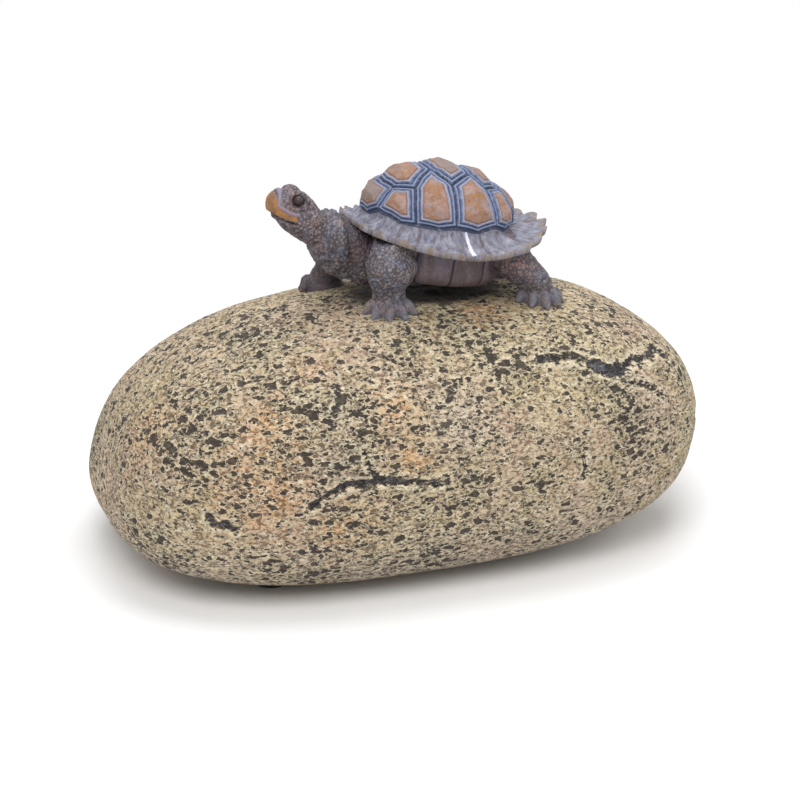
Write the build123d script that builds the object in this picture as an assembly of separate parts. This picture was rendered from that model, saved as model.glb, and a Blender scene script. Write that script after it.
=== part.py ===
"""A hide-a-key garden rock: a cast pebble with a tortoise standing on its crown.

The pebble is one solid casting with a pocket in its flat underside. A moulded key tray is screwed into
the pocket with its mouth facing down, and a flat door slides along the tray's rails to close it. The door
leaves through a channel at the back of the base. The tortoise is cast in pieces that are bonded together,
and it stands on the pebble on four steel pins.

Frame: millimetres, +Z up, the floor at Z = 0 under the middle of the pebble's waist. The tortoise faces
-X, and the door opens towards +X.
"""

from build123d import *
from math import asin, cos, degrees, pi, radians, sin
import os

# ---------------------------------------------------------------- driving sizes

# Pebble, measured from its waist, the level where its plan is largest.
rock_front = 74.4  # waist centre to the blunt front end
rock_back = 73.9  # waist centre to the back end
rock_half_width = 50.0
waist_height = 20.0  # above the flat base
rock_rise = 38.5  # waist to crown
rock_drop = 25.0  # waist to where the sides would close below the base
plan_power = 2.87  # 2 is an ellipse, and more is squarer
side_power = 2.41
rock_lean = 0.22  # how far each level moves back for its height above the waist
rock_levels = (-42.0, -33.0, -22.0, -11.0, 0.0, 13.0, 26.0, 39.0, 52.0, 64.0, 75.0, 84.0)  # degrees
plan_points = 24  # around each level

# Feet under the pebble.
foot_radius = 4.0
foot_height = 2.0  # base to floor
foot_seat_depth = 1.0
foot_x = 35.0
foot_y = 24.0
foot_edge = 0.5

# Key tray, door and their fixings.
well_length = 62.0
well_width = 28.0
well_depth = 17.0
well_wall = 1.8
well_corner = 5.0
well_roof_round = 1.2
door_length = 68.0
door_width = 32.0
door_thickness = 2.0
door_clearance = 0.2
door_overlap = 2.5  # door past the well at its closed end
door_travel = 60.0
door_corner = 1.5
grip_ribs = 5
grip_rib_width = 0.9
grip_rib_height = 0.7
grip_pitch = 2.2
grip_length = 18.0
grip_start = 12.0  # first rib from the door's outer end
pull_lip_width = 2.2
pull_lip_height = 1.1
stop_bump_length = 1.0
stop_bump_width = 0.8
stop_bump_height = 0.5
stop_bump_inset = 0.5  # from the door's inner end
rail_lip = 2.2  # how far each rail reaches in under the door
rail_lip_thickness = 1.2
rail_wall = 2.0
frame_end_wall = 2.0
frame_corner = 3.0
flange_thickness = 2.0
frame_recess = 0.3  # tray's face above the base
ear_radius = 4.5
ear_x = 20.0
ear_y = 21.5
pocket_clearance = 0.3
pocket_roof_clearance = 0.5
gasket_thickness = 0.8
gasket_inset = 0.6
liner_thickness = 2.0
liner_clearance = 0.3
screw_radius = 1.5
screw_head_radius = 2.8
screw_head_height = 1.7
screw_head_sink = 0.2
screw_length = 12.0
screw_tip_length = 2.0
screw_tip_radius = 0.4
screw_clearance = 0.05
drive_slot_width = 0.7
drive_slot_length = 3.2
drive_slot_depth = 0.8

# Tortoise shell, in the shell's own frame: its rim plane is level and its middle is the origin.
shell_x = 11.2  # where its middle stands along the pebble
shell_lift = 17.6  # its middle above the pebble's crown
shell_pitch = 9.5  # nose up, degrees
dome_half_length = 19.5
dome_half_width = 17.0
dome_height = 13.4
plate_sink = 2.5
ring_scale = 0.93  # of a scute's outline
ring_raise = 0.5
crown_scale = 0.68
crown_raise = 1.1
plate_taper = 22.0
rim_scutes = 24
rim_inner_scale = 0.93  # of the dome's plan
rim_inner_height = 1.6
rim_front_flare = 3.6  # how far the rim stands out from the dome
rim_back_flare = 7.8
rim_thickness = 1.5
rim_front_height = -0.8  # of the rim's edge, at the front, sides and back
rim_side_height = -3.3
rim_back_height = 2.6
rim_seam_depth = 0.55
rim_scallop = 0.7
rim_seam_share = 0.2  # of each rim scute, where it slopes to its seam

# Scutes of one side as plan outlines, in shares of the dome's half-length and half-width.
spine_joints = (-0.93, -0.60, -0.20, 0.22, 0.58, 0.92)
spine_half_widths = (0.22, 0.27, 0.30, 0.28, 0.24, 0.30)
spine_points = ((-0.80, 0.36), (-0.42, 0.42), (0.0, 0.44), (0.40, 0.40), (0.76, 0.36))
rib_feet = ((-0.86, 0.50), (-0.50, 0.86), (0.02, 0.99), (0.50, 0.86), (0.86, 0.50))
rib_middles = ((-0.72, 0.69), (-0.25, 0.96), (0.27, 0.96), (0.70, 0.71))

# Tortoise underside.
belly_inset = 0.4  # inside the rim
belly_depth = 13.5
belly_round = 3.0
belly_seams = 5
belly_seam_width = 0.6
belly_seam_depth = 0.5
belly_seam_pitch = 4.8

# Head, legs and tail, in the whole part's frame. Heights are above the pebble's crown.
# Each head section: along, height, tilt in degrees, half-width, half-height.
head_sections = (
    (-4.0, 11.0, 12.0, 7.4, 6.6),
    (-11.0, 13.9, 34.0, 6.8, 6.3),
    (-16.3, 17.8, 38.0, 6.0, 5.8),
    (-21.8, 22.1, 30.0, 5.8, 5.3),
    (-26.5, 24.3, 22.0, 5.0, 4.6),
    (-30.0, 25.3, 12.0, 3.3, 3.2),
    (-31.6, 25.5, 8.0, 1.8, 1.9),
)
mouth_height = 22.6
mouth_start = -27.0
mouth_gap = 0.5
eye_radius = 1.2
eye_x = -24.9
eye_y = 4.4
eye_height = 26.5
# Each leg section, from under the shell down to the foot: height, along, out from the middle,
# half-length, half-width.
front_leg = (
    (16.6, -4.2, 11.2, 4.6, 4.3),
    (14.2, -4.8, 12.1, 5.0, 4.7),
    (11.2, -4.9, 12.9, 6.0, 5.3),
    (7.9, -4.9, 12.5, 5.4, 4.9),
    (4.9, -5.2, 11.6, 4.3, 4.2),
)
rear_leg = (
    (16.0, 22.6, 9.8, 4.8, 4.4),
    (12.0, 24.6, 11.2, 5.6, 5.0),
    (8.6, 27.0, 12.3, 5.9, 5.2),
    (5.2, 29.8, 12.4, 5.7, 5.0),
    (2.8, 31.9, 11.9, 5.1, 4.8),
)
front_foot = (-4.7, 11.2)
rear_foot = (33.4, 11.4)
foot_half_length = 5.1
foot_half_width = 4.8
foot_wall = 3.8  # height of the straight part of each foot
foot_sink = 2.3  # depth of its seat in the pebble
leg_gap = 7.6  # above the feet, the legs stay this far from the middle, clear of the neck
leg_gap_height = 3.0  # above the pebble's crown
right_stride = 7.4  # the right front foot is this much further forward
right_splay = 5.4  # and this much further out
foot_reach = 4.7  # claws from the middle of the foot
front_toe_turn = 70.0  # degrees outward from straight ahead
rear_toe_turn = 92.0
claws = 5
claw_radius = 1.4
claw_lift = 0.1  # clear of the pebble
claw_spread = 37.5  # degrees between claws
tail_root = (-0.4, 11.5)  # along from the dome's rear end, and height
tail_tip = (5.4, 6.8)
tail_root_radius = 3.4
tail_tip_radius = 1.0

# Pins that fix the tortoise to the pebble.
pin_radius = 1.25
pin_in_rock = 8.0
pin_in_leg = 6.0
pin_clearance = 0.05
pin_edge = 0.3

# ---------------------------------------------------------------- derived levels

base_z = foot_height
waist_z = base_z + waist_height
crown_z = waist_z + rock_rise
frame_z = base_z + frame_recess
door_z = frame_z + rail_lip_thickness + door_clearance
flange_z = door_z + door_thickness + door_clearance
flange_top = flange_z + flange_thickness
ledge_z = flange_top + gasket_thickness
well_top = flange_z + well_depth
tray_top = well_top + well_wall
screw_z = frame_z + screw_head_sink

door_start = -well_length / 2 - door_overlap
door_end = door_start + door_length
slot_half_width = door_width / 2 + door_clearance
slot_start = door_start - door_clearance
frame_half_width = slot_half_width + rail_wall
frame_start = slot_start - frame_end_wall
outer_well_length = well_length + 2 * well_wall
outer_well_width = well_width + 2 * well_wall
mouth_half_width = slot_half_width - rail_lip
bump_y = (well_width / 2 + slot_half_width) / 2
bump_end = door_start + stop_bump_inset + stop_bump_length

belly_half_length = dome_half_length * rim_inner_scale - belly_inset
belly_half_width = dome_half_width * rim_inner_scale - belly_inset

# The base is centred behind the waist because the pebble leans.
base_x = -rock_lean * waist_height
tray_place = Pos(base_x, 0, 0)
shell_z = crown_z + shell_lift
shell_place = Location((shell_x, 0, shell_z), (0, shell_pitch, 0))


def power(value, exponent):
    """A signed power, for the rounded-square curves of the pebble."""
    return abs(value) ** exponent * (1 if value >= 0 else -1)


def both_ways(x, y):
    """The four places that mirror one place over both middle planes."""
    return [(sx * x, sy * y) for sx in (-1, 1) for sy in (-1, 1)]


def prism(outline, low, high):
    """A flat outline in plan, drawn up from one height to another."""
    return extrude(Pos(0, 0, low) * outline, high - low)


def bar(start, end, half_width, low, high):
    """A straight block along X and centred on Y."""
    outline = Pos((start + end) / 2, 0) * Rectangle(end - start, 2 * half_width)
    return prism(outline, low, high)


def biggest(shape):
    """The largest solid of a cut, without loose slivers."""
    return max(shape.solids(), key=lambda solid: solid.volume)


# ---------------------------------------------------------------- pebble


def rock_level(angle):
    """The pebble's height and plan scale at an angle up its side: 0 is the waist and 90 the crown."""
    reach = rock_rise if angle > 0 else rock_drop
    height = reach * power(sin(radians(angle)), 2 / side_power)
    return height, cos(radians(angle)) ** (2 / side_power)


def rock_plan(height, size):
    """The pebble's outline at one height above the waist, as a flat face."""
    points = []
    for step in range(plan_points):
        turn = 2 * pi * step / plan_points
        along, across = cos(turn), sin(turn)
        reach = size * (abs(along) ** plan_power + abs(across) ** plan_power) ** (-1 / plan_power)
        end = rock_back if along > 0 else rock_front
        points.append((along * reach * end, across * reach * rock_half_width))
    return Pos(rock_lean * height, 0, waist_z + height) * make_face(Spline(*points, periodic=True))


def rock_outside():
    """The whole pebble with its flat base and no pocket."""
    base_angle = -degrees(asin((waist_height / rock_drop) ** (side_power / 2)))
    return loft([rock_plan(*rock_level(angle)) for angle in (base_angle, *rock_levels)])


def rock_surface(x, y):
    """Height of the pebble's upper side over a place of its plan."""
    height = rock_rise
    for _ in range(12):
        along = x - rock_lean * height
        end = rock_back if along > 0 else rock_front
        out = abs(along / end) ** plan_power + abs(y / rock_half_width) ** plan_power
        height = rock_rise * max(0.0, 1 - out ** (side_power / plan_power)) ** (1 / side_power)
    return waist_z + height


def frame_outline(grow=0.0):
    """The tray's outline from below: a rounded frame with four screw ears."""
    length = door_end - frame_start + 2 * grow
    corner = frame_corner + grow
    outline = Pos((frame_start + door_end) / 2, 0) * RectangleRounded(
        length, 2 * (frame_half_width + grow), corner
    )
    for x, y in both_ways(ear_x, ear_y):
        outline += Pos(x, y) * Circle(ear_radius + grow)
        outline += Pos(x, y / 2) * Rectangle(2 * (ear_radius + grow), ear_y)
    return outline


def well_outline(grow=0.0):
    """The well's outline in plan, inside its walls."""
    return RectangleRounded(well_length + 2 * grow, well_width + 2 * grow, well_corner + grow)


def tray_pocket():
    """The room cut in the pebble for the tray, the door's way out, the feet and the screws."""
    below = base_z - 1.0
    pocket = prism(frame_outline(pocket_clearance), below, ledge_z)
    pocket += prism(well_outline(well_wall + pocket_clearance), below, tray_top + pocket_roof_clearance)
    pocket += bar(door_end, rock_back, slot_half_width + pocket_clearance, below, flange_z)
    for x, y in both_ways(foot_x, foot_y):
        pocket += prism(Pos(x, y) * Circle(foot_radius), below, base_z + foot_seat_depth)
    for x, y in both_ways(ear_x, ear_y):
        hole = Pos(x, y) * Circle(screw_radius + screw_clearance)
        pocket += prism(hole, below, screw_z + screw_length + 1.0)
    return tray_place * pocket


def feet():
    """Where the tortoise's feet stand: name, side, stride, splay, along and out from the middle."""
    x, y = front_foot
    return (
        ("front_left", -1, 0.0, 0.0, x, y),
        ("front_right", 1, right_stride, right_splay, x - right_stride, y + right_splay),
        ("rear_left", -1, 0.0, 0.0, *rear_foot),
        ("rear_right", 1, 0.0, 0.0, *rear_foot),
    )


def foot_seat(x, y):
    """Height of the flat seat that one of the tortoise's feet stands in."""
    return rock_surface(x, y) - foot_sink


def rock_casting(outside):
    """The pebble with its pocket, the seats of the tortoise's feet and the pin holes."""
    solid = outside - tray_pocket()
    for _, side, _, _, x, y in feet():
        seat = foot_seat(x, y)
        sole = Ellipse(foot_half_length, foot_half_width)
        hole = Circle(pin_radius + pin_clearance)
        room = prism(sole, seat, crown_z + foot_wall) + prism(hole, seat - pin_in_rock, seat + 1.0)
        solid -= Pos(x, side * y, 0) * room
    return solid


def foot_pad(x, y):
    """One rubber foot, sunk in its seat and rounded where it meets the floor."""
    pad = prism(Circle(foot_radius), 0.0, base_z + foot_seat_depth)
    pad = fillet(pad.edges().group_by(Axis.Z)[0], foot_edge)
    return tray_place * Pos(x, y, 0) * pad


# ---------------------------------------------------------------- key tray


def screw_solid():
    """One countersunk screw with its head down, at the origin of its face."""
    head = Pos(0, 0, screw_head_height / 2) * Cone(screw_head_radius, screw_radius, screw_head_height)
    shank_length = screw_length - screw_head_height - screw_tip_length
    shank = prism(Circle(screw_radius), screw_head_height, screw_head_height + shank_length)
    tip = Pos(0, 0, screw_length - screw_tip_length / 2) * Cone(
        screw_radius, screw_tip_radius, screw_tip_length
    )
    body = head + shank + tip
    for turn in (0, 90):
        slot = Rot(0, 0, turn) * Rectangle(drive_slot_length, drive_slot_width)
        body -= prism(slot, 0.0, drive_slot_depth)
    return body


def tray_screws():
    """The four screws that hold the tray in the pebble."""
    screws = [Pos(x, y, screw_z) * screw_solid() for x, y in both_ways(ear_x, ear_y)]
    return tray_place * Compound(screws)


def screw_room():
    """The countersink and hole for one screw, with the head's cone drawn down to the tray's face."""
    slope = (screw_head_radius - screw_radius) / screw_head_height
    mouth = screw_head_radius + slope * screw_head_sink
    depth = screw_head_height + screw_head_sink
    sink = Pos(0, 0, frame_z + depth / 2) * Cone(mouth, screw_radius, depth)
    return sink + prism(Circle(screw_radius + screw_clearance), frame_z + depth, flange_top)


def key_tray():
    """The tray: a frame with rails and ears under a deep well for the keys."""
    well = prism(well_outline(well_wall), flange_z, tray_top)
    well = fillet(well.edges().group_by(Axis.Z)[-1], well_roof_round)
    tray = prism(frame_outline(), frame_z, flange_top) + well
    tray -= prism(well_outline(), flange_z - 1.0, well_top)
    tray -= bar(slot_start, door_end, slot_half_width, frame_z + rail_lip_thickness, flange_z)
    tray -= bar(slot_start + rail_lip, door_end, mouth_half_width, frame_z, flange_z)
    groove_end = bump_end + door_travel + door_clearance / 2
    groove_top = flange_z + stop_bump_height
    groove = bar(slot_start, groove_end, stop_bump_width / 2 + door_clearance, flange_z, groove_top)
    for side in (-1, 1):
        tray -= Pos(0, side * bump_y, 0) * groove
    for x, y in both_ways(ear_x, ear_y):
        tray -= Pos(x, y, 0) * screw_room()
    return tray_place * tray


def sliding_door():
    """The flat door, with thumb ribs and a pull lip below and two stop bumps above."""
    middle = (door_start + door_end) / 2
    plate = prism(
        Pos(middle, 0) * RectangleRounded(door_length, door_width, door_corner),
        door_z,
        door_z + door_thickness,
    )
    for rib in range(grip_ribs):
        start = door_end - grip_start - rib * grip_pitch
        plate += bar(start, start + grip_rib_width, grip_length / 2, door_z - grip_rib_height, door_z)
    plate += bar(
        door_end - door_corner - pull_lip_width,
        door_end - door_corner,
        mouth_half_width - rail_lip,
        door_z - pull_lip_height,
        door_z,
    )
    bump = bar(
        bump_end - stop_bump_length,
        bump_end,
        stop_bump_width / 2,
        door_z + door_thickness,
        door_z + door_thickness + stop_bump_height,
    )
    for side in (-1, 1):
        plate += Pos(0, side * bump_y, 0) * bump
    return tray_place * plate


def tray_gasket():
    """The flat seal between the tray's flange and the pebble's ledge."""
    ring = prism(frame_outline(-gasket_inset), flange_top, ledge_z)
    ring -= prism(well_outline(well_wall + pocket_clearance), flange_top, ledge_z)
    for x, y in both_ways(ear_x, ear_y):
        ring -= prism(Pos(x, y) * Circle(screw_radius + screw_clearance), flange_top, ledge_z)
    return tray_place * ring


def tray_liner():
    """The foam pad under the well's roof that keeps the keys from rattling."""
    return tray_place * prism(well_outline(-liner_clearance), well_top - liner_thickness, well_top)


# ---------------------------------------------------------------- tortoise shell


def dome_height_at(u, v):
    """Height of the dome over a plan place in shares of its half-sizes."""
    return dome_height * max(0.0, 1 - u * u - v * v) ** 0.5


def scute_outlines():
    """Plan outlines of every scute of the dome, in shares of its half-sizes."""
    outlines = []
    for index, (side_u, side_v) in enumerate(spine_points):
        front, back = spine_joints[index], spine_joints[index + 1]
        front_v, back_v = spine_half_widths[index], spine_half_widths[index + 1]
        half = [(back, back_v), (side_u, side_v), (front, front_v)]
        outlines.append(half + [(u, -v) for u, v in reversed(half)])
    for index, middle in enumerate(rib_middles):
        joint = (spine_joints[index + 1], spine_half_widths[index + 1])
        side = [spine_points[index], joint, spine_points[index + 1], rib_feet[index + 1], middle,
                rib_feet[index]]
        outlines.append(side)
        outlines.append([(u, -v) for u, v in reversed(side)])
    return outlines


def scute_plate(outline):
    """One scute: a low ring with a narrower crown on it, laid on the dome."""
    u = sum(point[0] for point in outline) / len(outline)
    v = sum(point[1] for point in outline) / len(outline)
    centre = Vector(u * dome_half_length, v * dome_half_width, dome_height_at(u, v))
    normal = Vector(
        centre.X / dome_half_length**2, centre.Y / dome_half_width**2, centre.Z / dome_height**2
    )
    plane = Plane(origin=centre, x_dir=(normal.Z, 0, -normal.X), z_dir=normal)
    corners = [
        plane.to_local_coords(Vector(a * dome_half_length, b * dome_half_width, dome_height_at(a, b)))
        for a, b in outline
    ]
    plate = None
    for size, lift in ((ring_scale, ring_raise), (crown_scale, crown_raise)):
        points = [(corner.X * size, corner.Y * size) for corner in corners]
        face = plane.offset(-plate_sink) * make_face(Polyline(*points, close=True))
        tier = extrude(face, plate_sink + lift, taper=plate_taper * lift / (plate_sink + lift))
        plate = tier if plate is None else plate + tier
    return plate


def rim_edge_height(turn):
    """Height of the rim's edge at an angle around the shell, 0 at the back."""
    end = rim_back_height if cos(turn) > 0 else rim_front_height
    return end + (rim_side_height - end) * sin(turn) ** 2


def rim_section(turn, seam):
    """An upright section of the rim at one angle, lower and shorter at a seam."""
    drop = rim_seam_depth if seam else 0.0
    middle_flare = (rim_back_flare + rim_front_flare) / 2
    reach = middle_flare + (rim_back_flare - middle_flare) * cos(turn) - (rim_scallop if seam else 0.0)
    inner = Vector(dome_half_length * cos(turn), dome_half_width * sin(turn), 0) * rim_inner_scale
    outer = Vector((dome_half_length + reach) * cos(turn), (dome_half_width + reach) * sin(turn), 0)
    edge = rim_edge_height(turn)
    corners = [
        inner + Vector(0, 0, rim_inner_height - drop),
        outer + Vector(0, 0, edge - drop),
        outer + Vector(0, 0, edge - rim_thickness),
        inner + Vector(0, 0, rim_inner_height - rim_thickness),
    ]
    return make_face(Polyline(*corners, close=True))


def shell_rim():
    """The rim of scutes around the dome: one side lofted, then mirrored."""
    step = 2 * pi / rim_scutes
    sections = []
    for scute in range(rim_scutes // 2):
        for share in (0.0, rim_seam_share, 1 - rim_seam_share):
            sections.append(rim_section((scute + share) * step, share == 0.0))
    sections.append(rim_section(pi, True))
    side = loft(sections, ruled=True)
    return side + mirror(side, Plane.XZ)


def carapace():
    """The upper shell: dome, scutes and rim."""
    ball = scale(Sphere(1.0), by=(dome_half_length, dome_half_width, dome_height))
    dome = split(ball, Plane.XY)
    shell = dome + shell_rim()
    for outline in scute_outlines():
        shell += scute_plate(outline)
    return shell_place * shell


def belly():
    """The lower shell: an oval block under the dome with seams down its sides."""
    oval = Ellipse(belly_half_length, belly_half_width)
    core = Ellipse(belly_half_length - belly_seam_depth, belly_half_width - belly_seam_depth)
    block = prism(oval, -belly_depth, 0.0)
    block = fillet(block.edges().group_by(Axis.Z)[0], belly_round)
    skin = prism(oval - core, -belly_depth + belly_round, 0.0)
    for seam in range(belly_seams):
        x = (seam - (belly_seams - 1) / 2) * belly_seam_pitch
        slab = bar(x - belly_seam_width / 2, x + belly_seam_width / 2, belly_half_width, -belly_depth, 0.0)
        block -= skin & slab
    return shell_place * block


# ---------------------------------------------------------------- tortoise body


def head_solid():
    """The neck and head as one smooth form."""
    faces = []
    for x, height, tilt, half_width, half_height in head_sections:
        plane = Plane(
            origin=(x, 0, crown_z + height),
            x_dir=(0, 1, 0),
            z_dir=(-cos(radians(tilt)), 0, sin(radians(tilt))),
        )
        faces.append(plane * Ellipse(half_width, half_height))
    return loft(faces)


def eye_ball(side):
    """One round eye."""
    return Pos(eye_x, side * eye_y, crown_z + eye_height) * Sphere(eye_radius)


def head_and_neck(shell, plastron):
    """The head with its mouth and eye sockets, trimmed where it goes under the shell."""
    head = head_solid() - shell - plastron
    end = head_sections[-1][0] - 5.0
    low = crown_z + mouth_height
    head -= bar(end, mouth_start, 2 * eye_y, low, low + mouth_gap)
    for side in (-1, 1):
        head -= eye_ball(side)
    return biggest(head)


def leg(foot, sections, toe_turn, cutters):
    """One leg with its claws and straight foot, trimmed by the shell above it."""
    _, side, stride, splay, x, y = foot
    top = sections[0][0]
    seat = foot_seat(x, y)
    faces = []
    for height, along, out, half_length, half_width in sections:
        reached = (top - height) / top
        place = Pos(along - stride * reached, side * (out + splay * reached), crown_z + height)
        faces.append(place * Ellipse(half_length, half_width))
    sole = Pos(x, side * y) * Ellipse(foot_half_length, foot_half_width)
    faces.append(Pos(0, 0, seat + foot_wall) * sole)
    limb = loft(faces)
    for cutter in cutters:
        limb -= cutter
    limb += prism(sole, seat, seat + foot_wall)
    for claw in range(claws):
        turn = radians(toe_turn + (claw - (claws - 1) / 2) * claw_spread)
        claw_x = x - foot_reach * cos(turn)
        claw_y = side * (y + foot_reach * sin(turn))
        low = rock_surface(claw_x, claw_y) + claw_lift
        limb += Pos(claw_x, claw_y, low + claw_radius) * Sphere(claw_radius)
    hole = Pos(x, side * y) * Circle(pin_radius + pin_clearance)
    limb -= prism(hole, seat, seat + pin_in_leg + pin_clearance)
    return biggest(limb)


def tail(shell, plastron):
    """The short tail behind the shell."""
    faces = []
    start = shell_x + dome_half_length
    slope = (tail_tip[0] - tail_root[0], 0, tail_tip[1] - tail_root[1])
    for (x, height), radius in ((tail_root, tail_root_radius), (tail_tip, tail_tip_radius)):
        faces.append(Plane(origin=(start + x, 0, crown_z + height), z_dir=slope) * Circle(radius))
    return biggest(loft(faces) - shell - plastron)


def figure_pins():
    """The four steel pins between the feet and the pebble."""
    pins = []
    for _, side, _, _, x, y in feet():
        seat = foot_seat(x, y)
        pin = prism(Pos(x, side * y) * Circle(pin_radius), seat - pin_in_rock, seat + pin_in_leg)
        pins.append(chamfer(pin.edges().filter_by(GeomType.CIRCLE), pin_edge))
    return Compound(pins)


# ---------------------------------------------------------------- everything


def main():
    """Build every piece and write one file for each."""
    outside = rock_outside()
    shell = carapace()
    plastron = belly()
    head = head_and_neck(shell, plastron)
    gap = bar(-rock_front, rock_back, leg_gap, crown_z + leg_gap_height, crown_z + shell_lift)
    cutters = (gap, plastron, shell)
    nodes = {
        "rock_casting": rock_casting(outside),
        "key_tray": key_tray(),
        "tray_gasket": tray_gasket(),
        "tray_screws": tray_screws(),
        "tray_liner": tray_liner(),
        "sliding_door": sliding_door(),
        "carapace": shell,
        "belly_shell": plastron,
        "head_and_neck": head,
        "tail": tail(shell, plastron),
        "eye_left": eye_ball(-1),
        "eye_right": eye_ball(1),
        "figure_pins": figure_pins(),
    }
    for foot in feet():
        front = foot[0].startswith("front")
        sections, toe_turn = (front_leg, front_toe_turn) if front else (rear_leg, rear_toe_turn)
        nodes[f"leg_{foot[0]}"] = leg(foot, sections, toe_turn, cutters)
    corners = (("front_left", -1, -1), ("front_right", -1, 1), ("rear_left", 1, -1), ("rear_right", 1, 1))
    for name, end, side in corners:
        nodes[f"foot_pad_{name}"] = foot_pad(end * foot_x, side * foot_y)
    os.makedirs("parts", exist_ok=True)
    for name, shape in nodes.items():
        export_step(shape, f"parts/{name}.step")


main()
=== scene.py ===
"""Looks of a garden pebble that hides a key, with a tortoise standing on its crown.

Shapes are worked out in millimetres in the part's own frame and turned into metres as meshes are made.
"""

import logging
import math
from dataclasses import dataclass
from enum import Enum
from itertools import product
from typing import Any, Optional, Sequence, Union

import bpy
import numpy as np
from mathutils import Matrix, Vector


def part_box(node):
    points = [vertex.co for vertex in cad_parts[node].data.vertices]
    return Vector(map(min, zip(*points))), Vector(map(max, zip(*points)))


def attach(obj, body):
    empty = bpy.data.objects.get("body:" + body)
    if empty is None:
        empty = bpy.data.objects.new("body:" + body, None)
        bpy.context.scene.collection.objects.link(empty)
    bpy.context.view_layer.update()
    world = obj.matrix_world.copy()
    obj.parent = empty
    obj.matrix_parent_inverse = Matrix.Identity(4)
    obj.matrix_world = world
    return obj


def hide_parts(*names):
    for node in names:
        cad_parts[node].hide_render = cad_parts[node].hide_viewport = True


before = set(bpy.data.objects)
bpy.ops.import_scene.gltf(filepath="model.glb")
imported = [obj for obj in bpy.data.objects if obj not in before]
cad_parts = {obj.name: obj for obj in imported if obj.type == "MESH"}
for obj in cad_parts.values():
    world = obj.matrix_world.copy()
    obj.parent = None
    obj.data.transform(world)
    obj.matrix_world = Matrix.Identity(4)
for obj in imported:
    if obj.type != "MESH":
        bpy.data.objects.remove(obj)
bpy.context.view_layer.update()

log = logging.getLogger("key_rock")
MM = 0.001
HASH_PRIMES = (73856093, 19349663, 83492791)
HASH_SALT = 40503
HASH_MIX = 1274126177
HASH_MASK = 0xFFFFF
ROCK = "rock"

Array = np.ndarray
Colour = tuple[float, float, float, float]


def paint(red: int, green: int, blue: int) -> Colour:
    """A display colour, 0 to 255, as the linear colour that a shader takes."""
    parts = [value / 255 for value in (red, green, blue)]
    linear = [part / 12.92 if part <= 0.04045 else ((part + 0.055) / 1.055) ** 2.4 for part in parts]
    return (*linear, 1.0)


def smooth(values: Array, low: float, high: float) -> Array:
    """A soft step from 0 at `low` to 1 at `high`."""
    share = np.clip((values - low) / (high - low), 0.0, 1.0)
    return share * share * (3 - 2 * share)


def scatter(cells: Array, salt: int) -> Array:
    """A repeatable random number from 0 to 1 for each whole-numbered cell."""
    x, y, z = (cells[..., axis] * prime for axis, prime in enumerate(HASH_PRIMES))
    mixed = x ^ y ^ z ^ salt * HASH_SALT
    mixed = (mixed ^ (mixed >> 13)) * HASH_MIX
    return ((mixed ^ (mixed >> 16)) & HASH_MASK) / HASH_MASK


def ripple(points: Array, size: float, salt: int = 0, octaves: int = 3) -> Array:
    """Soft random relief.

    Args:
        points: Places in millimetres, one row each.
        size: How wide the largest features are.
        salt: Which of the many reliefs to take.
        octaves: How many ever finer layers are added.

    Returns:
        About -1 to 1 for each place.
    """
    total = np.zeros(len(points))
    for octave in range(octaves):
        place = points / size * 2**octave + 17.3 * octave
        cell = np.floor(place).astype(np.int64)
        part = place - cell
        part = part * part * (3 - 2 * part)
        for corner in product((0, 1), repeat=3):
            weight = np.prod(np.where(corner, part, 1 - part), axis=1)
            total += weight * (2 * scatter(cell + np.array(corner), salt + octave) - 1) * 0.5**octave
    return total


def pebbles(points: Array, size: float, salt: int = 0) -> tuple[Array, Array]:
    """Distances to the nearest and second nearest of scattered seeds, in shares of their spacing."""
    place = points / size
    cell = np.floor(place).astype(np.int64)
    first = np.full(len(points), 9.0)
    second = np.full(len(points), 9.0)
    for corner in product((-1, 0, 1), repeat=3):
        near = cell + np.array(corner)
        seed = near + np.stack([scatter(near, salt + axis) for axis in range(3)], axis=1)
        gap = np.linalg.norm(place - seed, axis=1)
        second = np.minimum(second, np.maximum(first, gap))
        first = np.minimum(first, gap)
    return first, second


def route_distance(points: Array, route: Array) -> Array:
    """How far each place is from a route of straight runs."""
    nearest = np.full(len(points), 1e9)
    for start, end in zip(route[:-1], route[1:]):
        run = end - start
        share = np.clip((points - start) @ run / (run @ run), 0.0, 1.0)
        nearest = np.minimum(nearest, np.linalg.norm(points - start - share[:, None] * run, axis=1))
    return nearest


# ------------------------------------------------------------------ shader nodes

Value = Union["Signal", float, Colour]


class Signal:
    """A shader socket that takes part in sums. Each sum adds a Math node."""

    def __init__(self, graph: "Graph", socket: bpy.types.NodeSocket) -> None:
        """Wrap a socket of a graph."""
        self.graph = graph
        self.socket = socket

    def _math(self, operation: str, first: Value, second: Value) -> "Signal":
        """Add one Math node."""
        return self.graph.node("ShaderNodeMath", {"operation": operation}, {0: first, 1: second})

    def __add__(self, other: Value) -> "Signal":
        """Sum."""
        return self._math("ADD", self, other)

    __radd__ = __add__

    def __sub__(self, other: Value) -> "Signal":
        """Difference."""
        return self._math("SUBTRACT", self, other)

    def __rsub__(self, other: Value) -> "Signal":
        """Reflected difference."""
        return self._math("SUBTRACT", other, self)

    def __mul__(self, other: Value) -> "Signal":
        """Product."""
        return self._math("MULTIPLY", self, other)

    def most(self, other: Value) -> "Signal":
        """The larger of two values."""
        return self._math("MAXIMUM", self, other)

    def step(self, low: float, high: float) -> "Signal":
        """A soft step from 0 at `low` to 1 at `high`."""
        settings = {"interpolation_type": "SMOOTHSTEP"}
        return self.graph.node("ShaderNodeMapRange", settings, {0: self, 1: low, 2: high})


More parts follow.
